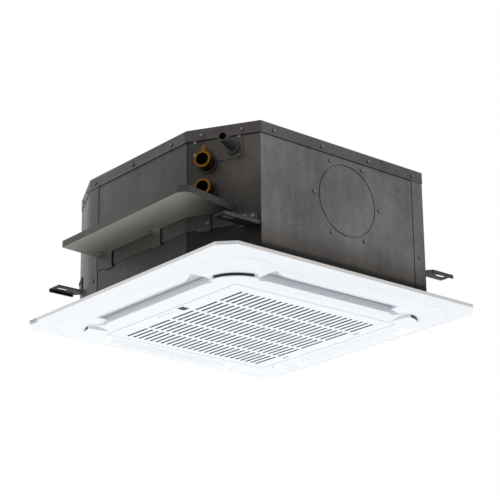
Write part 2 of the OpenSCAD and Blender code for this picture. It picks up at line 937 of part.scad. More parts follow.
// Fan wheel: back plate, hub and backward-curved blades; the shroud closes the blades below
fan_z = 8;
back_z = 119.5;
back_t = 2.5;
hub_r = 20;
hub_z0 = 100;
hub_h = 26;
hub_fit = 0.1;
shroud_t = 2;
shroud_rise = 24;
shroud_gap = 3;
shroud_lip = 10;
shroud_r = throat_r + bell_t + shroud_gap;
blade_in = 92;
blade_gap = 0.2;
blade_edge = 1;
blade_sweep = 52;
sweep_share = 0.6;
nut_r = 10;
nut_h = 6;

function shroud_curve(grow) = [for (i = [0:8]) let (a = 90 * i / 8)
    [wheel_r - (wheel_r - shroud_r - shroud_t + grow) * cos(a),
     fan_z + (shroud_rise + grow) * sin(a)]];

function blade_line(side) = [for (i = [0:8]) let (u = i / 8,
    r = blade_in + (wheel_r - blade_edge - blade_in) * u, a = -blade_sweep * u * (sweep_share + (1 - sweep_share) * u))
    [r * cos(a) - side * blade_t / 2 * sin(a + blade_sweep),
     r * sin(a) + side * blade_t / 2 * cos(a + blade_sweep)]];

module fan_blades() {
    intersection() {
        translate([0, 0, fan_z]) linear_extrude(back_z - fan_z)
            for (k = [0:blade_count - 1]) rotate([0, 0, 360 * k / blade_count])
            polygon(concat(blade_line(1), [for (i = [8:-1:0]) blade_line(-1)[i]]));
        rotate_extrude() polygon(concat([[blade_in - over, back_z + over],
            [blade_in - over, fan_z]], shroud_curve(shroud_t + blade_gap),
            [[wheel_r, back_z + over]]));
    }
}

module fan_wheel() {
    color("whitesmoke")
    difference() {
        union() {
            fan_blades();
            translate([0, 0, back_z]) cylinder(r = wheel_r, h = back_t);
            translate([0, 0, hub_z0]) cylinder(r = hub_r, h = hub_h);
        }
        translate([0, 0, hub_z0 - over]) cylinder(r = shaft_r + hub_fit, h = hub_h + 2 * over);
    }
}

module fan_shroud() {
    color("whitesmoke")
    rotate_extrude() polygon(concat([[shroud_r, fan_z - shroud_lip]], shroud_curve(shroud_t),
        [for (i = [8:-1:0]) shroud_curve(0)[i]], [[shroud_r + shroud_t, fan_z - shroud_lip]]));
}

module fan_nut() {
    color("silver") translate([0, 0, hub_z0 - nut_h]) difference() {
        cylinder(r = nut_r, h = nut_h, $fn = 6);
        translate([0, 0, -over]) cylinder(r = shaft_r + free_gap, h = nut_h + 2 * over);
    }
}

// Motor under the top cover
ear_t = 3;
mount_h = 14;
mount_r = 8;
mount_ring = 62;
mount_bolt_r = 3;
mount_nut_r = 5.5;
mount_nut_h = 4;
ear_r = 72;
ear_w = 20;
motor_z1 = z_top - sheet_t - mount_h - ear_t;
motor_z0 = motor_z1 - motor_h;
bearing_t = 8;
bearing_r = 13;
bearing_fit = 0.05;
shaft_tip = 6;
motor_end = 6;
motor_cover = 4;

module mount_places() {
    for (k = [0:3]) rotate([0, 0, 90 * k]) translate([mount_ring, 0, 0]) children();
}

module motor_shaft() {
    color("silver") translate([0, 0, hub_z0 - nut_h - shaft_tip])
        cylinder(r = shaft_r, h = motor_z1 - motor_end - hub_z0 + nut_h + shaft_tip);
}

module fan_motor() {
    color("dimgray")
    difference() {
        union() {
            translate([0, 0, motor_z0]) cylinder(r = motor_r, h = motor_h);
            intersection() {
                translate([0, 0, motor_z1]) cylinder(r = ear_r, h = ear_t);
                for (k = [0, 1]) rotate([0, 0, 90 * k])
                    box(-ear_r, ear_r, -ear_w / 2, ear_w / 2, motor_z1 - over, motor_z1 + ear_t);
            }
        }
        translate([0, 0, motor_z0 - over])
            cylinder(r = bearing_r, h = motor_h - motor_cover + over);
        mount_places() translate([0, 0, motor_z1 - over])
            cylinder(r = mount_bolt_r + hole_gap, h = ear_t + 2 * over);
    }
}

module motor_bearings() {
    color("silver")
    for (z = [motor_z0, motor_z1 - motor_end - bearing_t])
        translate([0, 0, z]) tube(bearing_r - bearing_fit, shaft_r + run_gap, bearing_t);
}

module motor_mounts() {
    color("black")
    mount_places() {
        translate([0, 0, motor_z1 + ear_t]) cylinder(r = mount_r, h = mount_h);
        translate([0, 0, motor_z1 + ear_t]) cylinder(r = mount_bolt_r, h = mount_h + 2 * mount_nut_h);
        translate([0, 0, z_top]) cylinder(r = mount_nut_r, h = mount_nut_h, $fn = 6);
    }
}

// Control box on the bell mouth's plate
control_w = 62;
control_x1 = bell_half - sheet_t;
control_x0 = control_x1 - control_w;
control_half = 140;
control_h = 22;
control_t = 1.5;
control_edge = 4;
circuit_z = 8;
circuit_t = 1.6;
circuit_gap = 4;
circuit_inset = 80;
terminal_l = 60;
terminal_inset = 8;
circuit_y1 = control_half - circuit_inset;
terminal_y1 = control_half - terminal_inset;
terminal_y0 = terminal_y1 - terminal_l;
terminal_w = 24;
terminal_h = 14;
terminal_pitch = 8;
terminal_bore_r = 3;
circuit_parts = [[20, -110, 22, 30, 9], [12, -60, 14, 22, 7], [30, -20, 18, 18, 8],
    [10, 20, 30, 20, 6], [38, -75, 12, 12, 10]];

module control_box() {
    color("gainsboro")
    difference() {
        box(control_x0, control_x1, -control_half, control_half, bell_z - control_h, bell_z);
        box(control_x0 + control_t, control_x1 - control_t, -control_half + control_t,
            control_half - control_t, bell_z - control_h - over, bell_z - control_t);
    }
}

module control_box_lid() {
    color("gainsboro") {
        z = bell_z - control_h;
        box(control_x0 - control_edge, control_x1 + control_edge, -control_half - control_edge,
            control_half + control_edge, z - control_t, z);
        box(control_x0 + control_edge, control_x1 - control_edge, -control_half + control_edge,
            control_half - control_edge, z, z + control_t);
    }
}

module circuit_board() {
    color("darkgreen") {
        z = bell_z - circuit_z;
        box(control_x0 + circuit_gap, control_x1 - circuit_gap, -control_half + circuit_gap,
            circuit_y1, z - circuit_t, z);
        for (p = circuit_parts)
            translate([control_x0 + circuit_gap + p[0] / 2, p[1], z - circuit_t - p[4]])
                cube([p[2], p[3], p[4]]);
        for (y = [circuit_gap - control_half, circuit_y1 - circuit_gap])
            box(control_x0 + circuit_gap, control_x1 - circuit_gap, y, y + circuit_gap,
                z, bell_z - control_t);
    }
}

module terminal_block() {
    color("beige")
    difference() {
        translate([(control_x0 + control_x1 - terminal_w) / 2, 0, 0])
            box(0, terminal_w, terminal_y0, terminal_y1, bell_z - control_t - terminal_h,
                bell_z - control_t);
        for (y = [terminal_y0 + control_edge:terminal_pitch:terminal_y1 - control_edge])
            for (s = [-1, 1])
            translate([(control_x0 + control_x1) / 2 + s * terminal_w / 4, y,
                       bell_z - control_t - terminal_h - over])
            cylinder(r = terminal_bore_r, h = terminal_h / 2 + over);
    }
}

// Panel
cavity_over = 10;
tab_inset = 8.2;
panel_screw_at = opening_half - tab_inset;
panel_screw_r = 2.5;
panel_screw_head_r = 5;
panel_screw_head_h = 3.5;
panel_screw_in = 10;
screw_fit = 0.1;
tab_t = 3;
tab_in = 9;
tab_drop = 4;
tab_z = z_lip0 - tab_drop;
inner_wall_h = 27;
inner_wall_top = z_face + inner_wall_h;
rail_flat = 6;
scoop_lead = 18;
scoop_start = outlet_half - scoop_lead;
wedge_run = 20;
wedge_half = outlet_half + wedge_run;
wedge_flare = 10;
wedge_out = wedge_half + wedge_flare;
end_wall = 3.5;
slot_depth = 8;
slot_a0 = 8;
slot_a1 = 82;
slot_drop = 5.5;
slot_z = z_out - slot_drop;
slot_trim = 0.3;
scoop_run = 23;
scoop_end = outlet_half + scoop_run;
scoop_rise = 2.5;
bore_depth = 5.8;
pivot_in = 3;
pivot_x = pivot_in - grille_half;
pivot_z = z_face + pivot_in;
latch_y = 113;
tongue_up = 1.5;
tongue_t = 2;
tongue_z0 = z_face + tongue_up;
tongue_z1 = tongue_z0 + tongue_t;

module panel_screw_places() {
    for (x = [-1, 1]) for (y = [-1, 1])
        translate([x * panel_screw_at, y * panel_screw_at, 0]) children();
}

// Slopes from the outlet's edge down to the rail beside the grille
module rail_slope() {
    intersection() {
        translate([0, wedge_out, 0]) rotate([90, 0, 0]) linear_extrude(2 * wedge_out)
            polygon([[opening_half + rail_flat, z_face], [outlet_in, z_out],
                [centre_half + over, z_out], [centre_half + over, z_face - over],
                [opening_half + rail_flat, z_face - over]]);
        translate([0, 0, z_face - 2 * over]) linear_extrude(face_drop)
            polygon([[opening_half, -wedge_half], [opening_half, wedge_half],
                [centre_half + 2 * over, wedge_out], [centre_half + 2 * over, -wedge_out]]);
    }
}

// Scoops beyond the ends of an outlet: points from its inner edge and from its outer edge,
// with y counted from the outlet's end
scoop_inner = [[0, -12], [-4, 6], [4, 19], [24, 22]];
scoop_outer = [[15, 25], [15, 13], [9, 2], [4, -9], [1, -22], [0, -35], [-2, -35], [-2, -12]];
shell_inner = [[0, -15], [-6.7, 5.5], [2.5, 21.3], [23.8, 24.6]];
shell_outer = [[17.6, 27.8], [17.6, 12.4], [11.2, 0.8], [6.4, -10], [3.4, -22.5], [0, -38]];

function beside_outlet(inner, outer) = concat([for (p = inner) p + [outlet_in, outlet_half]],
    [for (p = outer) p + [outlet_out, outlet_half]]);

// A scoop's outline under a ramp that falls to the panel's face at the scoop's end; h raises it
module scoops(points, z0, h) {
    for (s = [-1, 1]) scale([1, s, 1])
        intersection() {
            translate([0, 0, z0]) linear_extrude(outlet_drop + over) polygon(points);
            rotate([90, 0, 90]) linear_extrude(panel_half)
                polygon([[outlet_half / 2, z0 - over], [scoop_end + over + h * scoop_rise, z0 - over],
                    [scoop_end + over + h * scoop_rise, z_out - over / scoop_rise],
                    [scoop_start, z_out + h + (scoop_end - scoop_start) / scoop_rise],
                    [outlet_half / 2, z_out + h + (scoop_end - scoop_start) / scoop_rise]]);
        }
}

// Section of an outlet's duct: d grows it into the duct's walls
module duct_section(d) {
    polygon([[outlet_in - duct_relief - d, z_out + duct_lip - d], [outlet_in - d, z_out + duct_lip - d],
        [outlet_in - d, z_face - over], [outlet_out + d, z_face - over], [outlet_out + d, z_out],
        [outlet_out - lip_run + d, z_out + lip_run + d / 2], [outlet_out - lip_run + d, z_duct + over],
        [outlet_in - duct_relief - d, z_duct + over]]);
}

module duct_run(d, z0, z1, end) {
    intersection() {
        translate([0, outlet_half + end, 0]) rotate([90, 0, 0])
            linear_extrude(2 * (outlet_half + end)) duct_section(d);
        box(0, panel_half, -half, half, z0, z1);
    }
}

module border_form() {
    hull() {
        translate([0, 0, z_lip0]) linear_extrude(lip_h)
            polygon(octagon(panel_half, panel_cut));
        translate([0, 0, z_out]) linear_extrude(eps)
            round_square(outlet_out, border_r);
    }
}

module panel_frame() {
    color("white")
    difference() {
        union() {
            difference() {
                border_form();
                hull() {
                    translate([0, 0, z_lip0]) linear_extrude(lip_h + over)
                        polygon(octagon(panel_half - wall_t, panel_cut));
                    translate([0, 0, z_out + wall_t]) linear_extrude(eps)
                        round_square(outlet_out - wall_t, border_r - wall_t);
                }
            }
            translate([0, 0, z_face]) linear_extrude(z_out - z_face + wall_t)
                round_square(centre_half, centre_r);
            translate([0, 0, z_face]) linear_extrude(inner_wall_top - z_face)
                square(2 * (opening_half + wall_t), center = true);
            for (k = [0:3]) on_side(k) duct_run(duct_t, z_out, z_duct, end_wall);
            intersection() {
                border_form();
                for (k = [0:3]) on_side(k)
                    scoops(beside_outlet(shell_inner, shell_outer), z_out, duct_t);
            }
        }
        difference() {
            box(-opening_half, opening_half, -opening_half, opening_half,
                z_face - over, z_duct);
            panel_screw_places() translate([0, 0, tab_z]) difference() {
                box(-tab_in, tab_in + over, -tab_in, tab_in + over, 0, tab_t);
                translate([0, 0, -over]) cylinder(r = panel_screw_r + hole_gap, h = tab_t + 2 * over);
            }
        }
        for (k = [0:3]) on_side(k) {
            rail_slope();
            scoops(beside_outlet(scoop_inner, scoop_outer), z_out - over, 0);
            duct_run(0, z_face - over, z_duct + over, 0);
            at_pivot(0) translate([0, 0, -outlet_half - end_wall - over])
                cylinder(r = bush_r + run_gap, h = 2 * (outlet_half + end_wall + over));
            translate([centre_half - centre_r, centre_half - centre_r, slot_z])
                corner_band(centre_r - slot_depth, centre_r + over, slot_a0, slot_a1);
        }
        for (s = [-1, 1]) {
            translate([pivot_x, s * (opening_half - over), pivot_z]) rotate([-s * 90, 0, 0])
                cylinder(r = pivot_r + run_gap, h = bore_depth + over);
            box(opening_half - over, opening_half + latch_travel, s * latch_y - latch_w / 2 - free_gap,
                s * latch_y + latch_w / 2 + free_gap, tongue_z0 - hole_gap, tongue_z1 + hole_gap);
        }
    }
}

// A curved band of the corner slots' height
module corner_band(r0, r1, a0, a1) {
    linear_extrude(corner_slot_h) intersection() {
        difference() {
            circle(r = r1);
            circle(r = r0);
        }
        polygon([[0, 0], 2 * r1 * [cos(a0), sin(a0)], 2 * r1 * [1, 1], 2 * r1 * [sin(a0), cos(a0)]]);
    }
}

module corner_slot_inserts() {
    color("black")
    on_corners() translate([centre_half - centre_r, centre_half - centre_r, slot_z])
        corner_band(centre_r - slot_depth + slot_trim, centre_r - sheet_t,
            slot_a0 + slot_trim, slot_a1 - slot_trim);
}

gasket_edge_in = 9;
gasket_edge_out = 2;
gasket_in = outlet_in - gasket_edge_in;
gasket_out = outlet_out - gasket_edge_out;
gasket_over = 8;
module panel_gaskets() {
    color("black")
    for (k = [0:3]) on_side(k) difference() {
        box(gasket_in, gasket_out, -outlet_half - gasket_over, outlet_half + gasket_over,
            z_duct, z_bot);
        box(outlet_in - duct_relief, outlet_out - lip_run, -outlet_half, outlet_half,
            z_duct - over, z_bot + over);
    }
}

module panel_screws() {
    color("silver") panel_screw_places() {
        translate([0, 0, tab_z - panel_screw_head_h])
            cylinder(r = panel_screw_head_r, h = panel_screw_head_h);
        translate([0, 0, tab_z - over])
            cylinder(r = panel_screw_r, h = pan_z0 + panel_screw_in - tab_z + over);
    }
}

// Air flaps: a cambered blade on two ears with pins
flap_u = (outlet_w - lip_run - duct_relief) / 2;
flap_v = 20;
flap_side = 1.5;
flap_span = (outlet_w - lip_run + duct_relief) / 2 - flap_side;
flap_sag = 1.3;
flap_foot = 15.2;
ear_root = 6;
ear_top_r = 4.5;
flap_ear_t = 2.5;
bush_flange_r = 6.5;
bush_r = 4.5;
bush_flange_t = 1.5;
pin_end = 8;
pin_short = 3;
flap_motor_r = 8.8;
flap_motor_l = 14;
flap_motor_bore = 5;
flap_half = outlet_half - flap_gap;

// Local z runs along the flap's pivot, x across the outlet and y up
module at_pivot(k) {
    on_side(k) translate([outlet_in + flap_u, 0, z_out + flap_v])
        rotate([90, 0, 0]) children();
}

function flap_line(h) = [for (i = [-4:4]) let (u = i / 4)
    [u * flap_span, flap_foot - flap_v + h + flap_sag * u * u]];

module flap(k) {
    color("gainsboro")
    at_pivot(k) {
        translate([0, 0, -flap_half]) linear_extrude(2 * flap_half)
            polygon(concat(flap_line(0), [for (i = [8:-1:0]) flap_line(flap_t)[i]]));
        for (s = [0, 1]) translate([0, 0, s > 0 ? flap_half - flap_ear_t : -flap_half])
            linear_extrude(flap_ear_t) {
                circle(r = ear_top_r);
                polygon([[-ear_top_r, 0], [-ear_top_r - ear_root, flap_foot + flap_t - flap_v],
                    [ear_top_r + ear_root, flap_foot + flap_t - flap_v], [ear_top_r, 0]]);
            }
        translate([0, 0, flap_half - flap_ear_t]) cylinder(r = flap_pin_r,
            h = flap_ear_t + flap_gap + pin_short);
        translate([0, 0, -flap_half - flap_gap - pin_end]) cylinder(r = flap_pin_r,
            h = flap_ear_t + flap_gap + pin_end);
    }
}

module flap_right() { flap(0); }
module flap_rear() { flap(1); }
module flap_left() { flap(2); }
module flap_front() { flap(3); }

module flap_bushes() {
    color("dimgray")
    for (k = [0:3]) at_pivot(k) for (s = [0, 1]) mirror([0, 0, s])
        translate([0, 0, outlet_half - bush_flange_t]) difference() {
            union() {
                cylinder(r = bush_flange_r, h = bush_flange_t);
                cylinder(r = bush_r, h = bush_flange_t + end_wall);
            }
            translate([0, 0, -over])
                cylinder(r = flap_pin_r + run_gap, h = bush_flange_t + end_wall + 2 * over);
        }
}

module flap_motors() {
    color("lightgray")
    for (k = [0:3]) at_pivot(k)
        translate([0, 0, -outlet_half - end_wall - flap_motor_l]) difference() {
            cylinder(r = flap_motor_r, h = flap_motor_l);
            translate([0, 0, flap_motor_l - flap_motor_bore])
                cylinder(r = flap_pin_r + run_gap, h = flap_motor_bore + over);
        }
}

// Intake grille
slot_field_x = 3;
slot_field_y = 6;
rib_t = 2;
rib_h = 3.5;
rib_inset = 28.5;
rib_reach = grille_half - rib_inset;
pin_reach = 4.8;
latch_inset = 7.5;
latch_x = grille_half - latch_inset;
latch_l = 11;
latch_w = 18;
latch_t = 3.8;
latch_fit = 0.2;
keeper_t = 2;
tongue_out = 3.2;
window_w = 18;
window_inset = 15.5;
window_x = window_inset - grille_half;
window_y = -28;
window_edge = 2;
light_inset = 12.5;
light_x = light_inset - grille_half;
light_y0 = 4;
light_pitch = 11;
light_r = 1.5;

module slot_field() {
    for (i = [0:slot_columns - 1]) for (j = [0:slot_rows - 1])
        translate([slot_field_x + (i - (slot_columns - 1) / 2) * slot_pitch,
                   slot_field_y + (j - (slot_rows - 1) / 2) * (slot_l + slot_web)])
        square([slot_w, slot_l], center = true);
}

module intake_grille() {
    color("white")
    difference() {
        union() {
            translate([0, 0, z_face]) linear_extrude(face_t) difference() {
                square(2 * grille_half, center = true);
                slot_field();
            }
            translate([0, 0, z_face]) linear_extrude(rim_h) difference() {
                square(2 * grille_half, center = true);
                square(2 * (grille_half - wall_t), center = true);
            }
            for (j = [0:slot_rows])
                translate([0, slot_field_y + (j - slot_rows / 2) * (slot_l + slot_web), 0])
                box(-rib_reach, rib_reach, -rib_t / 2, rib_t / 2, z_face + over,
                    z_face + face_t + rib_h);
            for (s = [-1, 1]) translate([pivot_x, s * (grille_half - wall_t), pivot_z])
                rotate([-s * 90, 0, 0]) cylinder(r = pivot_r, h = wall_t + seam + pin_reach);
            for (s = [-1, 1]) translate([latch_x, s * latch_y, 0])
                box(-latch_l - keeper_t, latch_l / 2, -latch_w / 2 - keeper_t,
                    latch_w / 2 + keeper_t, z_face + over, z_face + face_t + rib_h - free_gap);
        }
        for (s = [-1, 1]) translate([latch_x, s * latch_y, 0]) {
            box(-latch_l / 2 - latch_travel - latch_fit, latch_l / 2 + latch_fit,
                -latch_w / 2 - latch_fit, latch_w / 2 + latch_fit, z_face - over,
                z_face + latch_t + latch_fit);
            box(0, latch_l + over, -latch_w / 2 - latch_fit, latch_w / 2 + latch_fit,
                tongue_z0 - latch_fit, tongue_z1 + latch_fit);
        }
        translate([window_x, window_y, z_face - over]) box(-window_w / 2 - latch_fit,
            window_w / 2 + latch_fit, -window_w / 2 - latch_fit, window_w / 2 + latch_fit,
            0, face_t + 2 * over);
        for (i = [0:4]) translate([light_x, light_y0 + light_pitch * i, z_face - over])
            cylinder(r = light_r + free_gap, h = face_t + 2 * over);
    }
}

module grille_latch(s) {
    color("gainsboro") translate([latch_x, s * latch_y, 0]) {
        box(-latch_l / 2, latch_l / 2, -latch_w / 2, latch_w / 2, z_face, z_face + latch_t);
        box(0, opening_half + tongue_out - latch_x, -latch_w / 2, latch_w / 2,
            tongue_z0, tongue_z1);
    }
}

module grille_latch_front() { grille_latch(-1); }
module grille_latch_rear() { grille_latch(1); }

module receiver_window() {
    color("black") translate([window_x, window_y, 0]) {
        box(-window_w / 2, window_w / 2, -window_w / 2, window_w / 2, z_face, z_face + face_t);
        box(-window_w / 2 - window_edge / 2, window_w / 2 + window_edge, -window_w / 2 - window_edge,
            window_w / 2 + window_edge, z_face + face_t, z_face + face_t + sheet_t);
    }
}

module status_lights() {
    color("lightgreen") {
        for (i = [0:4]) translate([light_x, light_y0 + light_pitch * i, z_face])
            cylinder(r = light_r, h = face_t);
        translate([light_x, light_y0, 0]) box(-window_edge, window_edge, -window_edge,
            4 * light_pitch + window_edge, z_face + face_t, z_face + face_t + sheet_t);
    }
}

filter_gap = 4;
filter_half = grille_half - filter_gap;
filter_w = 5;
filter_h = 4.5;
filter_bar = 3;
mesh_t = 0.8;
module filter_frame() {
    color("gray")
    translate([0, 0, z_face + face_t + rib_h]) linear_extrude(filter_h) difference() {
        square(2 * filter_half, center = true);
        for (x = [-1, 1]) for (y = [-1, 1])
            translate([x, y] * (filter_half + filter_bar - filter_w) / 2)
            square(filter_half - filter_w - filter_bar, center = true);
    }
}

module filter_mesh() {
    color("black")
    translate([0, 0, z_face + face_t + rib_h + filter_h])
        linear_extrude(mesh_t) square(2 * filter_half - filter_w, center = true);
}

// Outer drain tray beside the pipe corner
tray_y1 = half - corner_cut_y - corner_lap - 0.5 * sheet_t;
tray_slope = 7;
tray_taper = 2.5;
tray_inset = 23.5;
tray_y0 = tray_inset - half;
tray_corner = 22;
tray_foot_inset = 49.5;
tray_foot_y = half - tray_foot_inset;
tray_apron = 29;
tray_x = half + tray_reach;
hook_w = 28;
hook_t = 3;
hook_drop = 5;
hook_slot = 12;
hook_places = [102, -62];
tray_screw_s = -31.6;
tray_screw_z = 15;
tray_hook_s = -40;

module tray_screw_places() {
    on_pipe_face(tray_screw_s, tray_screw_z) translate([0, 0, -layer_pipe]) children();
}

function pipe_plane_x(d, y) = -corner_x(pipe_cut_x, pipe_cut_y, d, -y);

function tray_wall(d) = [[layer_wall - half - d, tray_y1 - d],
    [layer_wall - half - d, wall_ends[7][1]],
    [pipe_plane_x(layer_pipe - d, wall_ends[7][1] - d), wall_ends[7][1] - d],
    [pipe_plane_x(layer_pipe - d, d - tray_foot_y), d - tray_foot_y]];

function tray_front(d) = concat(
    arc(d - tray_x + tray_corner - d, tray_y0 + tray_corner, tray_corner - d, 270, 180, 6),
    [[d - tray_x + tray_taper, tray_y1 - tray_slope - d]]);

module outer_drain_tray() {
    color("slategray")
    difference() {
        union() {
            translate([0, 0, tray_z]) linear_extrude(tray_h)
                polygon(concat(tray_wall(0), tray_front(0)));
            translate([0, 0, tray_z - tray_apron])
                linear_extrude(tray_apron + tray_t) difference() {
                    polygon(concat(tray_wall(0), [[-half - over, over - tray_foot_y],
                        [-half - over, tray_y1]]));
                    polygon(concat(tray_wall(tray_t), [[-tray_x, -tray_x], [-tray_x, half]]));
                    polygon([[-tray_x, -tray_foot_y], [0, -tray_foot_y], [0, -tray_x],
                        [-tray_x, -tray_x]]);
                }
            for (y = hook_places)
                box(layer_wall - half - tray_t - hook_t, layer_wall - half, y - hook_w / 2,
                    y + hook_w / 2, tray_z - tray_apron - hook_drop, tray_z + tray_t);
            on_pipe_face(tray_hook_s, 0) box(-hook_w / 2, hook_w / 2,
                tray_z - tray_apron - hook_drop, tray_z + tray_t, -layer_pipe,
                hook_t + tray_t - layer_pipe);
        }
        translate([0, 0, tray_z + tray_t]) linear_extrude(tray_h)
            polygon(concat(tray_wall(tray_t), tray_front(tray_t)));
        for (y = hook_places)
            box(layer_wall - half - tray_t - hook_t - hook_slot, layer_wall - half - tray_t - hook_t,
                y - hook_w / 2, y + hook_w / 2, tray_z - over, tray_z + tray_t + over);
        tray_screw_places() translate([0, 0, hook_t]) screw_hole();
    }
}

top_cover();
left_side_wall();
front_side_wall();
right_side_wall();
rear_side_wall();
pipe_corner_panel();
front_right_corner_panel();
rear_right_corner_panel();
rear_left_corner_panel();
casing_screws();
hanger_front_left();
hanger_front_right();
hanger_rear_right();
hanger_rear_left();
pipe_cover_plate();
insulation_liner();
coil_fin_pack();
coil_end_plates();
coil_return_bends();
coil_headers();
water_inlet_fitting();
water_outlet_fitting();
pipe_grommets();
air_vent_screw();
drain_spigot();
condensate_pump();
pump_hose();
float_switch_stem();
float_ring();
drain_pan();
bell_mouth();
fan_wheel();
fan_shroud();
fan_nut();
motor_shaft();
fan_motor();
motor_bearings();
motor_mounts();
control_box();
control_box_lid();
circuit_board();
terminal_block();
panel_frame();
panel_gaskets();
panel_screws();
corner_slot_inserts();
flap_left();
flap_front();
flap_right();
flap_rear();
flap_motors();
flap_bushes();
intake_grille();
filter_frame();
filter_mesh();
grille_latch_front();
grille_latch_rear();
receiver_window();
status_lights();
outer_drain_tray();
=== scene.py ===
import json
import math

import bmesh
import bpy
from mathutils import Matrix, Vector
from mathutils.bvhtree import BVHTree


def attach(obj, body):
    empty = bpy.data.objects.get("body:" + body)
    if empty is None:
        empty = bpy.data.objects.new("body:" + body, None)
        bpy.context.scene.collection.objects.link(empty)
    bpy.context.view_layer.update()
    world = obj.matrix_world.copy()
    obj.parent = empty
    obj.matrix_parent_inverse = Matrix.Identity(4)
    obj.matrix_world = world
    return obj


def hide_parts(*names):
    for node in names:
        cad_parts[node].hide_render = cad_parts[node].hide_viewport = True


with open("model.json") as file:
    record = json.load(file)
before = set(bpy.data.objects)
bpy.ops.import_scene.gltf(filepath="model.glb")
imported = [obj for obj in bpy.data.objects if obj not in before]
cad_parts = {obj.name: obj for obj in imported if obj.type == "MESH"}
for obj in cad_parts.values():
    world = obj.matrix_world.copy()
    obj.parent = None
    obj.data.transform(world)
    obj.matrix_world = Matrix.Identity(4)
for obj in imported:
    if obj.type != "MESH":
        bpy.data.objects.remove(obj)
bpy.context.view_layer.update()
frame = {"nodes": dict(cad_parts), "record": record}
MM = 0.001

# Camera, fitted to the photograph: below the unit, turned to its pipe corner.
# Angles are in degrees, distances and the lens in mm.
CAMERA_AZIMUTH = -39.927
CAMERA_ELEVATION = -19.55
CAMERA_ROLL = 0.577
CAMERA_DISTANCE = 3537.5
CAMERA_SHIFT = (1.669, 142.72)
CAMERA_LENS = 122.7
SENSOR_WIDTH = 36.0
CLIP_END_M = 50.0
ROD_SLOTS_ABOVE_CAMERA_TARGET = 79.0


def place_camera():
    data = bpy.data.cameras.new("camera")
    data.lens = CAMERA_LENS
    data.sensor_width = SENSOR_WIDTH
    data.clip_end = CLIP_END_M
    camera = bpy.data.objects.new("camera", data)
    bpy.context.scene.collection.objects.link(camera)
    a = math.radians(CAMERA_AZIMUTH)
    e = math.radians(CAMERA_ELEVATION)
    back = Vector((math.sin(a) * math.cos(e), -math.cos(a) * math.cos(e), math.sin(e)))
    right = Vector((math.cos(a), math.sin(a), 0))
    up = back.cross(right)
    place = back * CAMERA_DISTANCE + right * CAMERA_SHIFT[0] + up * CAMERA_SHIFT[1]
    place.z -= ROD_SLOTS_ABOVE_CAMERA_TARGET
    turn = Matrix((right, up, back)).transposed().to_4x4()
    roll = Matrix.Rotation(math.radians(-CAMERA_ROLL), 4, "Z")
    camera.matrix_world = Matrix.Translation(place * MM) @ turn @ roll
    bpy.context.scene.camera = camera


# Studio: a matt floor under an even sky, with three square lamps. Lengths are in m.
WHITE = "FFFFFF"
FLOOR_GREY = "E6E6E6"
FLOOR_Z = -4.0
STUDIO_HALF = 14.0
SKY_LIGHT = 0.45
LAMP_TARGET = (0, 0, -0.05)
# Each lamp's name, place, side and power in watts
LAMPS = [("light_below", (0.42, 0.55, -3.6), 3.6, 108),
         ("light_left", (-3.4, 0.8, -0.4), 2.0, 20),
         ("light_right", (1.2, -3.4, 0.6), 2.0, 10)]


def node(tree, kind, inputs=None, **settings):
    """Adds one shader node; inputs maps a socket to a value or to another node's output."""
    made = tree.nodes.new(kind)
    for name, value in settings.items():
        setattr(made, name, value)
    for socket, value in (inputs or {}).items():
        if isinstance(value, bpy.types.NodeSocket):
            tree.links.new(value, made.inputs[socket])
        else:
            made.inputs[socket].default_value = value
    return made


def linear(hex_colour):
    """A colour written as sRGB hex, as linear red, green, blue and alpha."""
    parts = [int(hex_colour[i : i + 2], 16) / 255 for i in (0, 2, 4)]
    return [c / 12.92 if c <= 0.04045 else ((c + 0.055) / 1.055) ** 2.4 for c in parts] + [1.0]


def seen_directly(tree):
    """1 for rays from the camera, mirrors and glass; 0 for the rays that light things."""
    path = node(tree, "ShaderNodeLightPath").outputs
    either = node(tree, "ShaderNodeMath", {0: path["Is Camera Ray"], 1: path["Is Glossy Ray"]},
                  operation="MAXIMUM")
    return node(tree, "ShaderNodeMath", {0: either.outputs[0], 1: path["Is Transmission Ray"]},
                operation="MAXIMUM").outputs[0]


def set_world():
    """Lights the unit softly from all round, and shows plain white behind it."""
    world = bpy.data.worlds.new("studio")
    world.use_nodes = True
    tree = world.node_tree
    tree.nodes.clear()
    sky = node(tree, "ShaderNodeBackground", {"Color": linear(WHITE), "Strength": SKY_LIGHT})
    white = node(tree, "ShaderNodeBackground", {"Color": linear(WHITE), "Strength": 1.0})
    mix = node(tree, "ShaderNodeMixShader", {0: seen_directly(tree), 1: sky.outputs[0],
               2: white.outputs[0]})
    node(tree, "ShaderNodeOutputWorld", {"Surface": mix.outputs[0]})
    bpy.context.scene.world = world


def lamp(name, place, side, power):
    data = bpy.data.lights.new(name, "AREA")
    data.shape = "RECTANGLE"
    data.size = side
    data.size_y = side
    data.energy = power
    obj = bpy.data.objects.new(name, data)
    bpy.context.scene.collection.objects.link(obj)
    obj.location = place
    aim = Vector(LAMP_TARGET) - Vector(place)
    obj.rotation_euler = aim.to_track_quat("-Z", "Y").to_euler()


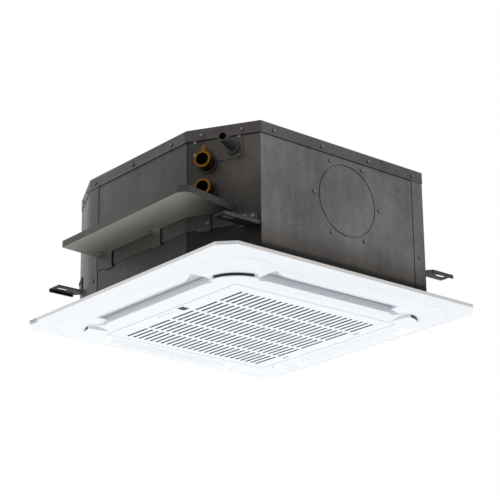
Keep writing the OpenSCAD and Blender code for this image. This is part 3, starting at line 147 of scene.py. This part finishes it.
def build_studio():
    """A floor that throws light up at the unit and looks plain white, and the lamps."""
    shape = bmesh.new()
    bmesh.ops.create_grid(shape, x_segments=1, y_segments=1, size=STUDIO_HALF,
                          matrix=Matrix.Translation((0, 0, FLOOR_Z)))
    mesh = bpy.data.meshes.new("floor")
    shape.to_mesh(mesh)
    shape.free()
    floor = bpy.data.objects.new("floor", mesh)
    bpy.context.scene.collection.objects.link(floor)
    material = bpy.data.materials.new("studio_floor_paint")
    material.use_nodes = True
    tree = material.node_tree
    tree.nodes.clear()
    matt = node(tree, "ShaderNodeBsdfDiffuse", {"Color": linear(FLOOR_GREY)})
    white = node(tree, "ShaderNodeEmission", {"Color": linear(WHITE), "Strength": 1.0})
    mix = node(tree, "ShaderNodeMixShader", {0: seen_directly(tree), 1: matt.outputs[0],
               2: white.outputs[0]})
    node(tree, "ShaderNodeOutputMaterial", {"Surface": mix.outputs[0]})
    mesh.materials.append(material)
    for name, place, side, power in LAMPS:
        lamp(name, place, side, power)


# Pieces carried over from the frame, with edges rounded as folds and mouldings are.
# Lengths are in mm.
EDGE_ANGLE = math.radians(32)
EDGE_WIDTH = 0.4
EDGE_SEGMENTS = 2
MERGE_DISTANCE = 0.01
FLAT_ANGLE = math.radians(0.4)


def body_of(name):
    for body, names in frame["record"]["behaviour"]["bodies"].items():
        if name in names:
            return body


def dress(name, material):
    """A merged copy of a CAD node with small rounded edges and a finish."""
    source = frame["nodes"][name]
    shape = bmesh.new()
    shape.from_mesh(source.data)
    bmesh.ops.remove_doubles(shape, verts=shape.verts, dist=MERGE_DISTANCE * MM)
    bmesh.ops.dissolve_limit(shape, angle_limit=FLAT_ANGLE, verts=shape.verts,
                             edges=shape.edges)
    for face in shape.faces:
        face.smooth = True
    for line in shape.edges:
        line.smooth = len(line.link_faces) == 2 and line.calc_face_angle(math.pi) < EDGE_ANGLE
    mesh = bpy.data.meshes.new(name + "_dressed")
    shape.to_mesh(mesh)
    shape.free()
    piece = bpy.data.objects.new(name + "_dressed", mesh)
    bpy.context.scene.collection.objects.link(piece)
    mesh.materials.append(material)
    bevel = piece.modifiers.new("edge", "BEVEL")
    bevel.width = EDGE_WIDTH * MM
    bevel.segments = EDGE_SEGMENTS
    bevel.limit_method = "ANGLE"
    bevel.angle_limit = EDGE_ANGLE
    bevel.harden_normals = True
    bevel.use_clamp_overlap = True
    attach(piece, body_of(name))
    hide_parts(name)


# Directions in the part's frame
ALONG_Y = (0.0, 1.0, 0.0)
UPWARD = (0.0, 0.0, 1.0)
TOWARD_PIPE_END = (1.0, -0.8, 0.0)
TOWARD_PIPE_CORNER = (-0.86, -0.511, 0.0)
ALONG_PIPE_FACE = (0.511, -0.86, 0.0)
# The way the photograph looks, level and as it rises: away from its near corner
FAR_SIDE = (0.641, 0.767, 0.0)
UP_AND_AWAY = (0.604, 0.723, 0.335)

# A normal's part along Z where a mask starts, and where it is full
LOOKS_DOWN = (-0.5, -0.8)
STANDS_UPRIGHT = (0.75, 0.5)
SLOPES = (0.95, 0.1)

# Places on the pieces, in mm: the brass bores, and reaches from the panel's middle
BORE_ALONG_FACE = 28.36
BORE_HEIGHTS = (82.0, 140.0)
BORE_R = 12.3
BORE_EDGE = 0.5
SLOT_FIELD_HALF = 196.0
SLOT_FIELD_EDGE = 1.0
OUTLET_FROM = 232.0
OUTLET_TO = 330.0
RIM_FROM = 335.5
LIP_FROM = 338.0


def finish(name, colour, roughness, metallic=0.0):
    material = bpy.data.materials.new(name)
    material.use_nodes = True
    tree = material.node_tree
    tree.nodes.clear()
    shader = node(tree, "ShaderNodeBsdfPrincipled", {"Base Color": linear(colour),
                  "Roughness": roughness, "Metallic": metallic})
    node(tree, "ShaderNodeOutputMaterial", {"Surface": shader.outputs[0]})
    return material, tree, shader


def grain(tree, shader, size_mm, depth_mm, strength=0.3):
    """Moulded or cast grain: bumps that break up the highlights. The real ones are mostly
    finer, and are drawn as coarse as they need to show."""
    bumps = node(tree, "ShaderNodeTexNoise", {
        "Vector": node(tree, "ShaderNodeTexCoord").outputs["Object"],
        "Scale": 1 / (size_mm * MM), "Detail": 3.0, "Roughness": 0.6})
    bump = node(tree, "ShaderNodeBump", {"Strength": strength, "Distance": depth_mm * MM,
                "Height": bumps.outputs[0]})
    tree.links.new(bump.outputs[0], shader.inputs["Normal"])


def mottle(tree, low, high, size_mm):
    """Cloudy colour variation between two close colours."""
    clouds = node(tree, "ShaderNodeTexNoise", {
        "Vector": node(tree, "ShaderNodeTexCoord").outputs["Object"],
        "Scale": 1 / (size_mm * MM), "Detail": 3.0, "Roughness": 0.55})
    return node(tree, "ShaderNodeMix", {0: clouds.outputs[0], 6: linear(low), 7: linear(high)},
                data_type="RGBA").outputs[2]


def fade(tree, colour, along, dark_at_mm, full_at_mm, shade):
    """Paints shade onto a colour toward one end of a direction; shade is what is left there of
    its red, green and blue."""
    place = node(tree, "ShaderNodeVectorMath", {
        0: node(tree, "ShaderNodeTexCoord").outputs["Object"], 1: along},
        operation="DOT_PRODUCT")
    share = node(tree, "ShaderNodeMapRange", {"Value": place.outputs["Value"],
                 "From Min": dark_at_mm * MM, "From Max": full_at_mm * MM},
                 interpolation_type="SMOOTHSTEP")
    left = node(tree, "ShaderNodeMix", {0: share.outputs[0], 6: (*shade, 1.0),
                7: linear(WHITE)}, data_type="RGBA")
    return node(tree, "ShaderNodeVectorMath", {0: colour, 1: left.outputs[2]},
                operation="MULTIPLY").outputs[0]


# Painted shade in seams: how far it reaches in mm, and the open share of the surroundings there
SEAM_REACH = 5.0
OPENNESS_IN_SEAM = 0.55
OPENNESS_IN_CLEAR = 0.95
SEAM_SHADE = 0.3


def painted_seam_shade(tree, colour, shade):
    """Painted shade where another face lies close; shade is the share left at the seam."""
    near = node(tree, "ShaderNodeAmbientOcclusion", {"Distance": SEAM_REACH * MM})
    share = node(tree, "ShaderNodeMapRange", {"Value": near.outputs["AO"],
                 "From Min": OPENNESS_IN_SEAM, "From Max": OPENNESS_IN_CLEAR,
                 "To Min": shade, "To Max": 1.0})
    return node(tree, "ShaderNodeVectorMath", {"Vector": colour, "Scale": share.outputs[0]},
                operation="SCALE").outputs[0]


def cut_ring(tree, colour, x_mm, z_mm, radius_mm, half_width_mm, shade):
    """The dark line of a round cut in a sheet that faces along Y, soft in its outer half: its
    burr, with painted shadow in the cut.
    """
    flat = node(tree, "ShaderNodeVectorMath", {
        0: node(tree, "ShaderNodeTexCoord").outputs["Object"], 1: (1.0, 0.0, 1.0)},
        operation="MULTIPLY")
    reach = node(tree, "ShaderNodeVectorMath", {0: flat.outputs[0],
                 1: (x_mm * MM, 0.0, z_mm * MM)}, operation="DISTANCE")
    past = node(tree, "ShaderNodeMath", {0: reach.outputs["Value"], 1: radius_mm * MM},
                operation="SUBTRACT")
    off = node(tree, "ShaderNodeMath", {0: past.outputs[0]}, operation="ABSOLUTE")
    share = node(tree, "ShaderNodeMapRange", {"Value": off.outputs[0],
                 "From Min": half_width_mm / 2 * MM, "From Max": half_width_mm * MM,
                 "To Min": shade, "To Max": 1.0})
    return node(tree, "ShaderNodeVectorMath", {"Vector": colour, "Scale": share.outputs[0]},
                operation="SCALE").outputs[0]


def facing(tree, span, one_way=False):
    """0 to 1 as the upward part of a face's normal goes through the span. Up and down count
    alike, unless one_way is set."""
    part = node(tree, "ShaderNodeSeparateXYZ", {
        0: node(tree, "ShaderNodeTexCoord").outputs["Normal"]})
    along_z = part.outputs["Z"]
    if not one_way:
        along_z = node(tree, "ShaderNodeMath", {0: along_z}, operation="ABSOLUTE").outputs[0]
    return node(tree, "ShaderNodeMapRange", {"Value": along_z, "From Min": span[0],
                "From Max": span[1]}).outputs[0]


def reach_from_centre(tree):
    """The larger of the distances along X and along Y from the middle of the panel."""
    part = node(tree, "ShaderNodeSeparateXYZ", {
        0: node(tree, "ShaderNodeTexCoord").outputs["Object"]})
    along_x = node(tree, "ShaderNodeMath", {0: part.outputs["X"]}, operation="ABSOLUTE")
    along_y = node(tree, "ShaderNodeMath", {0: part.outputs["Y"]}, operation="ABSOLUTE")
    return node(tree, "ShaderNodeMath", {0: along_x.outputs[0], 1: along_y.outputs[0]},
                operation="MAXIMUM").outputs[0]


# Galvanised sheet: its shine, the sizes of its patterns in mm, and how they mix
SHEET_ROUGHNESS = 0.42
SHEET_METALLIC = 0.75
CRYSTAL_SIZE = 9
CLOUD_SIZE = 150
STREAK_SIZE = 22
DRAWN_UPRIGHT = (1.0, 1.0, 0.12)
STREAK_SHARE = 0.35
MARK_SHARE = 0.9
PATTERN_LOW = 0.36
PATTERN_HIGH = 0.64


def galvanised_sheet(name, low, high, fades=(), ring=None, seam=SEAM_SHADE):
    """Hot-dip galvanised steel: a dull metal with faint crystals, wide clouds of old handling
    marks and thin upright streaks, with painted shade in its seams and along its fades."""
    material, tree, shader = finish(name, high, SHEET_ROUGHNESS, SHEET_METALLIC)
    place = node(tree, "ShaderNodeTexCoord").outputs["Object"]
    crystals = node(tree, "ShaderNodeTexVoronoi", {"Vector": place,
                    "Scale": 1 / (CRYSTAL_SIZE * MM), "Randomness": 1.0})
    clouds = node(tree, "ShaderNodeTexNoise", {"Vector": place,
                  "Scale": 1 / (CLOUD_SIZE * MM), "Detail": 3.0, "Roughness": 0.5})
    drawn = node(tree, "ShaderNodeVectorMath", {0: place, 1: DRAWN_UPRIGHT},
                 operation="MULTIPLY")
    streaks = node(tree, "ShaderNodeTexNoise", {"Vector": drawn.outputs[0],
                   "Scale": 1 / (STREAK_SIZE * MM), "Detail": 4.0})
    marks = node(tree, "ShaderNodeMix", {0: STREAK_SHARE, 2: clouds.outputs[0],
                 3: streaks.outputs[0]}, data_type="FLOAT")
    amount = node(tree, "ShaderNodeMix", {0: MARK_SHARE, 2: crystals.outputs["Color"],
                  3: marks.outputs[0]}, data_type="FLOAT")
    strong = node(tree, "ShaderNodeMapRange", {"Value": amount.outputs[0],
                  "From Min": PATTERN_LOW, "From Max": PATTERN_HIGH})
    colour = node(tree, "ShaderNodeMix", {0: strong.outputs[0], 6: linear(low),
                  7: linear(high)}, data_type="RGBA").outputs[2]
    # Painted shade follows: the fades, the knock-out's dark cut line, and the darkening in seams
    for along, dark_at_mm, full_at_mm, shade in fades:
        colour = fade(tree, colour, along, dark_at_mm, full_at_mm, shade)
    if ring:
        colour = cut_ring(tree, colour, *ring)
    tree.links.new(painted_seam_shade(tree, colour, seam), shader.inputs["Base Color"])
    return material


# The tray: rows of fade's arguments for its painted shade, and the sizes of its clouds and grain
# in mm
TRAY_UNDER_FADE = (TOWARD_PIPE_END, -50, -195, (0.03, 0.03, 0.03))
TRAY_SIDE_FADE = (ALONG_Y, -262, -60, (0.26, 0.26, 0.26))
TRAY_FOOT_FADE = (UPWARD, 28, 36, (0.7, 0.7, 0.7))
TRAY_ROUGHNESS = 0.5
TRAY_UNDER_CLOUD = 40
TRAY_SIDE_CLOUD = 18
TRAY_GRAIN = (1.4, 0.03)


def tray_moulding(name, under_low, under_high, side_low, side_high):
    """Grey polypropylene: a pale underside and sides painted darker as shade, with painted shade
    toward the end that reaches under the pipe corner, low on the sides and in their seams."""
    material, tree, shader = finish(name, under_high, TRAY_ROUGHNESS)
    under = mottle(tree, under_low, under_high, TRAY_UNDER_CLOUD)
    under = fade(tree, under, *TRAY_UNDER_FADE)
    side = mottle(tree, side_low, side_high, TRAY_SIDE_CLOUD)
    side = fade(tree, side, *TRAY_SIDE_FADE)
    side = fade(tree, side, *TRAY_FOOT_FADE)
    side = painted_seam_shade(tree, side, SEAM_SHADE)
    # Lit and shaded copies of one grey, chosen by which way a face looks: painted light and shade
    mix = node(tree, "ShaderNodeMix", {0: facing(tree, LOOKS_DOWN, one_way=True), 6: side,
               7: under}, data_type="RGBA")
    tree.links.new(mix.outputs[2], shader.inputs["Base Color"])
    grain(tree, shader, *TRAY_GRAIN)
    return material


def moulded(name, low, high, roughness, grain_mm=1.2, depth_mm=0.02, cloud_mm=60):
    """Injection moulded plastic: an even colour with the faint grain of the mould."""
    material, tree, shader = finish(name, high, roughness)
    tree.links.new(mottle(tree, low, high, cloud_mm), shader.inputs["Base Color"])
    grain(tree, shader, grain_mm, depth_mm)
    return material


# White ABS: the grain is its size and depth in mm, the cloud a size in mm
ABS_ROUGHNESS = 0.42
ABS_GRAIN = (0.9, 0.01)
ABS_CLOUD = 200


def slotted_grille(name, low, high, slot_wall_shade):
    """White moulded ABS whose slot walls are painted grey as shade in the slots."""
    material, tree, shader = finish(name, high, ABS_ROUGHNESS)
    inside = node(tree, "ShaderNodeMapRange", {"Value": reach_from_centre(tree),
                  "From Min": (SLOT_FIELD_HALF + SLOT_FIELD_EDGE) * MM,
                  "From Max": SLOT_FIELD_HALF * MM})
    slot = node(tree, "ShaderNodeMath", {0: facing(tree, STANDS_UPRIGHT),
                1: inside.outputs[0]}, operation="MULTIPLY")
    mix = node(tree, "ShaderNodeMix", {0: slot.outputs[0],
               6: mottle(tree, low, high, ABS_CLOUD), 7: linear(slot_wall_shade)}, data_type="RGBA")
    tree.links.new(mix.outputs[2], shader.inputs["Base Color"])
    grain(tree, shader, *ABS_GRAIN)
    return material


def outlet_frame(name, low, high, glow, lip_lit_colour, lip_painted_glow, rim_shade_colour):
    """White moulded ABS. The photograph is so bright that its far outlets are as white as the
    face, so their sloped and upright walls are given painted light, a faint emission, where they
    turn toward the near corner and down. The outer lip's upright faces are a lighter, warmer
    white with a faint emission of their own, painted light, and the far rim of the face is
    faintly tan, painted shade."""
    material, tree, shader = finish(name, high, ABS_ROUGHNESS)
    grain(tree, shader, *ABS_GRAIN)
    reach = reach_from_centre(tree)
    past_rail = node(tree, "ShaderNodeMath", {0: reach, 1: OUTLET_FROM * MM},
                     operation="GREATER_THAN")
    before_lip = node(tree, "ShaderNodeMath", {0: reach, 1: OUTLET_TO * MM},
                      operation="LESS_THAN")
    surface = node(tree, "ShaderNodeTexCoord").outputs
    toward_far = node(tree, "ShaderNodeVectorMath", {0: surface["Object"], 1: FAR_SIDE},
                      operation="DOT_PRODUCT")
    far = node(tree, "ShaderNodeMath", {0: toward_far.outputs["Value"], 1: 0.0},
               operation="GREATER_THAN")
    turned = node(tree, "ShaderNodeVectorMath", {0: surface["Normal"], 1: UP_AND_AWAY},
                  operation="DOT_PRODUCT")
    faces_back_to_view = node(tree, "ShaderNodeMath", {0: turned.outputs["Value"], 1: 0.0},
                      operation="LESS_THAN")
    # Painted light: a faint emission on the far outlets' walls, between the rail and the lip
    painted_glow = node(tree, "ShaderNodeMath", {0: facing(tree, SLOPES), 1: glow},
                   operation="MULTIPLY")
    for mask in (past_rail, before_lip, far, faces_back_to_view):
        painted_glow = node(tree, "ShaderNodeMath", {0: painted_glow.outputs[0], 1: mask.outputs[0]},
                       operation="MULTIPLY")
    # Painted light on the lip: a lighter, warmer white on its upright faces, and a faint emission
    past_face = node(tree, "ShaderNodeMath", {0: reach, 1: LIP_FROM * MM},
                     operation="GREATER_THAN")
    lip = node(tree, "ShaderNodeMath", {0: past_face.outputs[0],
               1: facing(tree, STANDS_UPRIGHT)}, operation="MULTIPLY")
    # Painted shade on the far rim of the face: a faint tan
    past_rim = node(tree, "ShaderNodeMath", {0: reach, 1: RIM_FROM * MM},
                    operation="GREATER_THAN")
    far_rim = node(tree, "ShaderNodeMath", {0: past_rim.outputs[0], 1: far.outputs[0]},
                   operation="MULTIPLY")
    with_lip = node(tree, "ShaderNodeMix", {0: lip.outputs[0],
                    6: mottle(tree, low, high, ABS_CLOUD), 7: linear(lip_lit_colour)},
                    data_type="RGBA")
    with_rim = node(tree, "ShaderNodeMix", {0: far_rim.outputs[0], 6: with_lip.outputs[2],
                    7: linear(rim_shade_colour)}, data_type="RGBA")
    tree.links.new(with_rim.outputs[2], shader.inputs["Base Color"])
    # The emission that paints light on the lip and the far outlets' walls
    shader.inputs["Emission Color"].default_value = linear(lip_lit_colour)
    strength = node(tree, "ShaderNodeMath", {0: lip.outputs[0], 1: lip_painted_glow,
                    2: painted_glow.outputs[0]}, operation="MULTIPLY_ADD")
    tree.links.new(strength.outputs[0], shader.inputs["Emission Strength"])
    return material


# Bare metal: a cloud size in mm, and the marks' size and depth in mm and their strength
METAL_CLOUD = 6
TOOL_MARKS = (0.8, 0.01, 0.2)


def polished_metal(name, low, high, roughness):
    """Turned, drawn or ground metal: a shine broken by fine tool marks."""
    material, tree, shader = finish(name, high, roughness, metallic=1.0)
    tree.links.new(mottle(tree, low, high, METAL_CLOUD), shader.inputs["Base Color"])
    grain(tree, shader, *TOOL_MARKS)
    return material


def machined_brass(name, low, high, roughness, bore_shade):
    """Turned brass with fine tool marks, with painted shade, nearly black, inside the two bores.
    """
    material, tree, shader = finish(name, high, roughness, metallic=1.0)
    grain(tree, shader, *TOOL_MARKS)
    place = node(tree, "ShaderNodeTexCoord").outputs["Object"]
    along = node(tree, "ShaderNodeVectorMath", {0: place, 1: ALONG_PIPE_FACE},
                 operation="DOT_PRODUCT")
    part = node(tree, "ShaderNodeSeparateXYZ", {0: place})
    flat = node(tree, "ShaderNodeCombineXYZ", {"X": along.outputs["Value"],
                "Z": part.outputs["Z"]})
    reaches = [node(tree, "ShaderNodeVectorMath", {0: flat.outputs[0],
               1: (BORE_ALONG_FACE * MM, 0.0, z_mm * MM)}, operation="DISTANCE")
               for z_mm in BORE_HEIGHTS]
    nearest = node(tree, "ShaderNodeMath", {0: reaches[0].outputs["Value"],
                   1: reaches[1].outputs["Value"]}, operation="MINIMUM")
    share = node(tree, "ShaderNodeMapRange", {"Value": nearest.outputs[0],
                 "From Min": BORE_R * MM, "From Max": (BORE_R + BORE_EDGE) * MM,
                 "To Min": bore_shade, "To Max": 1.0})
    bore_shaded = node(tree, "ShaderNodeVectorMath", {
        "Vector": mottle(tree, low, high, METAL_CLOUD), "Scale": share.outputs[0]},
        operation="SCALE")
    tree.links.new(bore_shaded.outputs[0], shader.inputs["Base Color"])
    return material


# Rows of fade's arguments, painting shade on the sheets: direction, mm where it is dark, mm where
# it is full, and what is left of red, green and blue in the dark
SIDE_WALL_FADES = [(ALONG_Y, -175, 230, (0.5, 0.5, 0.5)),
                   (UPWARD, 30, 160, (0.74, 0.72, 0.7))]
PIPE_CORNER_FADES = [(UPWARD, -40, 165, (0.21, 0.2, 0.2)),
                     (ALONG_Y, -154, -280, (0.5, 0.5, 0.5))]
FRONT_FADES = [(UPWARD, -46, 25, (0.38, 0.33, 0.29)),
               (UPWARD, -42, -29, (0.06, 0.05, 0.05))]
COVER_FADES = [(TOWARD_PIPE_CORNER, 325.5, 322, (0.66, 0.63, 0.6))]
# The cut line round the knock-out, its burr with painted shadow in the cut: its middle's x and z,
# its radius and half width in mm, and the share of colour left
KNOCK_OUT_RING = (17.7, 100.0, 75.6, 1.5, 0.4)
ABS_WHITES = ("EFF4F9", "F4F9FD")

FINISHES = {
    # a hairline on the panel, a little greyer than its white
    "parting_line": moulded("shaded_parting_line", "DADFE3", "E2E6E9", 0.6),
    # The five outer galvanised finishes below are copies of one sheet, each lighter or darker for
    # the light on its face: painted light and shade.
    # a dull grey wall with soft clouds, with painted shade toward the pipe corner, low down and
    # in seams
    "casing_sheet": galvanised_sheet("galvanised_casing_sheet", "4F4E4E", "616060",
                                     SIDE_WALL_FADES, seam=0.6),
    # the darkest copy, made dark for the shade on its face: brown-grey above, with painted shade
    # nearly black at its foot
    "pipe_corner_sheet": galvanised_sheet("painted_shade_galvanised_sheet", "393633", "514D49",
                                          PIPE_CORNER_FADES),
    # the lightest copy, lit brighter for its face, with warm brown painted shade low down, a
    # black painted shadow line at the foot and a dark circle
    "front_sheet": galvanised_sheet("galvanised_front_sheet", "525151", "6D6C6B", FRONT_FADES,
                                    KNOCK_OUT_RING),
    # a grey top flange, with painted shade where it turns over the pipe corner
    "cover_sheet": galvanised_sheet("galvanised_cover_sheet", "474545", "5A5757", COVER_FADES),
    # plain mid grey folds, with painted shade in their seams
    "corner_sheet": galvanised_sheet("galvanised_corner_sheet", "504F4E", "5C5A59"),
    # near-black brackets with a soft sheen
    "bracket_steel": moulded("black_stoved_enamel", "1E1E1F", "262627", 0.5, 1.5),
    # small grey heads that catch the light
    "zinc_screws": polished_metal("zinc_plated_steel", "4C4D4E", "7C7D7E", 0.4),
    # matt white with coarse beads
    "foam": moulded("expanded_polystyrene", "E9E9E6", "F2F2F0", 0.8, 3.0, 0.15),
    # a pale silver block
    "fin_aluminium": polished_metal("rolled_aluminium_fins", "B9BCBF", "C8CACC", 0.4),
    # pale grey clean sheet, as it stays inside the casing
    "zinc_sheet": galvanised_sheet("galvanised_inner_sheet", "9EA0A2", "ADAFB0"),
    # warm red-brown tubes
    "copper": polished_metal("drawn_copper_tube", "A8653F", "B97347", 0.35),
    # dull brown-yellow rings round bores painted nearly black as shade
    "brass": machined_brass("machined_brass", "472F10", "7A5220", 0.36, 0.1),
    # matt black, for the rings behind the brass, the motor's mounts and the seals
    "grommet_rubber": moulded("black_rubber", "161616", "1E1E1E", 0.7, 0.8),
    # a charcoal tube
    "spigot_plastic": moulded("grey_polypropylene", "302F2F", "3B3A39", 0.5),
    # a pale underside between sides painted dark as shade
    "tray_plastic": tray_moulding("grey_polypropylene_tray", "8A8A82", "949589", "3D3D38",
                                  "494843"),
    # black with a soft sheen, for small moulded parts and the filter's mesh
    "black_plastic": moulded("black_polypropylene", "101112", "18191A", 0.5),
    # dark grey and matt
    "hose_rubber": moulded("grey_hose_rubber", "4A4A4A", "545454", 0.65),
    # off-white and matt
    "float_plastic": moulded("white_foamed_plastic", "DCDCD8", "E8E8E4", 0.6),
    # cool off-white, a step darker than the panel
    "fan_plastic": moulded("white_glass_filled_plastic", "D5D7D8", "DFE1E2", 0.5),
    # bright, with narrow highlights
    "polished_steel": polished_metal("ground_steel", "A2A3A5", "BBBCBE", 0.2),
    # black with clear highlights
    "motor_paint": moulded("black_motor_paint", "1C1C1E", "252527", 0.4),
    # dark green with clear highlights
    "circuit_green": moulded("solder_resist_green", "123E22", "1A4E2C", 0.35),
    # pale cream
    "terminal_plastic": moulded("cream_nylon", "CFC8AE", "DAD4BC", 0.5),
    # clean cool white with a satin grain
    "panel_plastic": moulded("white_moulded_abs", *ABS_WHITES, ABS_ROUGHNESS, *ABS_GRAIN,
                             ABS_CLOUD),
    # the same white, with painted light on the far outlets' walls so they all but melt into the
    # face
    "outlet_frame": outlet_frame("white_abs_frame", *ABS_WHITES, 0.41, "FAF6F4", 0.03,
                                 "C4B9B2"),
    # the same white, cut by rows of slots whose walls are painted blue-grey shade
    "slotted_grille": slotted_grille("white_abs_grille", *ABS_WHITES, "7A8084"),
    # the pale grey bands deep in the outlets
    "flap_plastic": moulded("pale_grey_moulded_abs", "C0C3C6", "C8CBCE", 0.4, *ABS_GRAIN),
    # a step darker grey than the flaps
    "grey_plastic": moulded("grey_moulded_abs", "B2B4B6", "BEC0C2", 0.45),
    # nearly black, for the receiver's window
    "receiver_plastic": moulded("dark_gloss_polycarbonate", "0C0D0F", "121316", 0.55, 4.0,
                                0.002),
    # dark blue-grey dots beside the window
    "light_plastic": moulded("smoked_lens_polycarbonate", "34373A", "424548", 0.5),
}
SLOT_OF = {part["node"]: part["material_slot"] for part in frame["record"]["subparts"]}
SLOT_OF.update({"pipe_corner_panel": "pipe_corner_sheet", "pipe_cover_plate": "pipe_corner_sheet",
                "front_side_wall": "front_sheet", "front_right_corner_panel": "front_sheet",
                "top_cover": "cover_sheet", "panel_frame": "outlet_frame",
                "intake_grille": "slotted_grille", "grille_latch_front": "panel_plastic",
                "grille_latch_rear": "panel_plastic"})

# Parting lines of the four corner covers on the panel's face, in mm
CORNER_LINE_CENTRE = 225.8
CORNER_LINE_R = 88.4
CORNER_LINE_WIDTH = 0.9
CORNER_LINE_FROM = math.radians(-13)
CORNER_LINE_TO = math.radians(103)
CORNER_LINE_STEPS = 40
LINE_BELOW_FACE = 0.12
BELOW_ALL_M = -1


def corner_line(quarter):
    """A faint arc on the panel, round one corner of the grille."""
    panel = bmesh.new()
    panel.from_mesh(frame["nodes"]["panel_frame"].data)
    face = BVHTree.FromBMesh(panel)
    panel.free()
    turn = Matrix.Rotation(math.radians(90 * quarter), 4, "Z")
    shape = bmesh.new()
    bmesh.ops.create_grid(shape, x_segments=CORNER_LINE_STEPS, y_segments=1, size=0.5)
    for vert in shape.verts:
        angle = CORNER_LINE_FROM + (vert.co.x + 0.5) * (CORNER_LINE_TO - CORNER_LINE_FROM)
        r = CORNER_LINE_R + vert.co.y * CORNER_LINE_WIDTH
        place = turn @ Vector(((CORNER_LINE_CENTRE + r * math.cos(angle)) * MM,
                               (CORNER_LINE_CENTRE + r * math.sin(angle)) * MM, 0))
        point = face.ray_cast(Vector((place.x, place.y, BELOW_ALL_M)), Vector(UPWARD))[0]
        vert.co = Vector((place.x, place.y, point.z - LINE_BELOW_FACE * MM))
    bmesh.ops.recalc_face_normals(shape, faces=shape.faces)
    name = "corner_parting_line_%d" % (quarter + 1)
    mesh = bpy.data.meshes.new(name)
    shape.to_mesh(mesh)
    shape.free()
    mesh.materials.append(FINISHES["parting_line"])
    line = bpy.data.objects.new(name, mesh)
    bpy.context.scene.collection.objects.link(line)
    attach(line, body_of("panel_frame"))


bpy.context.scene.view_settings.view_transform = "Standard"
place_camera()
set_world()
build_studio()
for name in frame["nodes"]:
    dress(name, FINISHES[SLOT_OF[name]])
for quarter in range(4):
    corner_line(quarter)
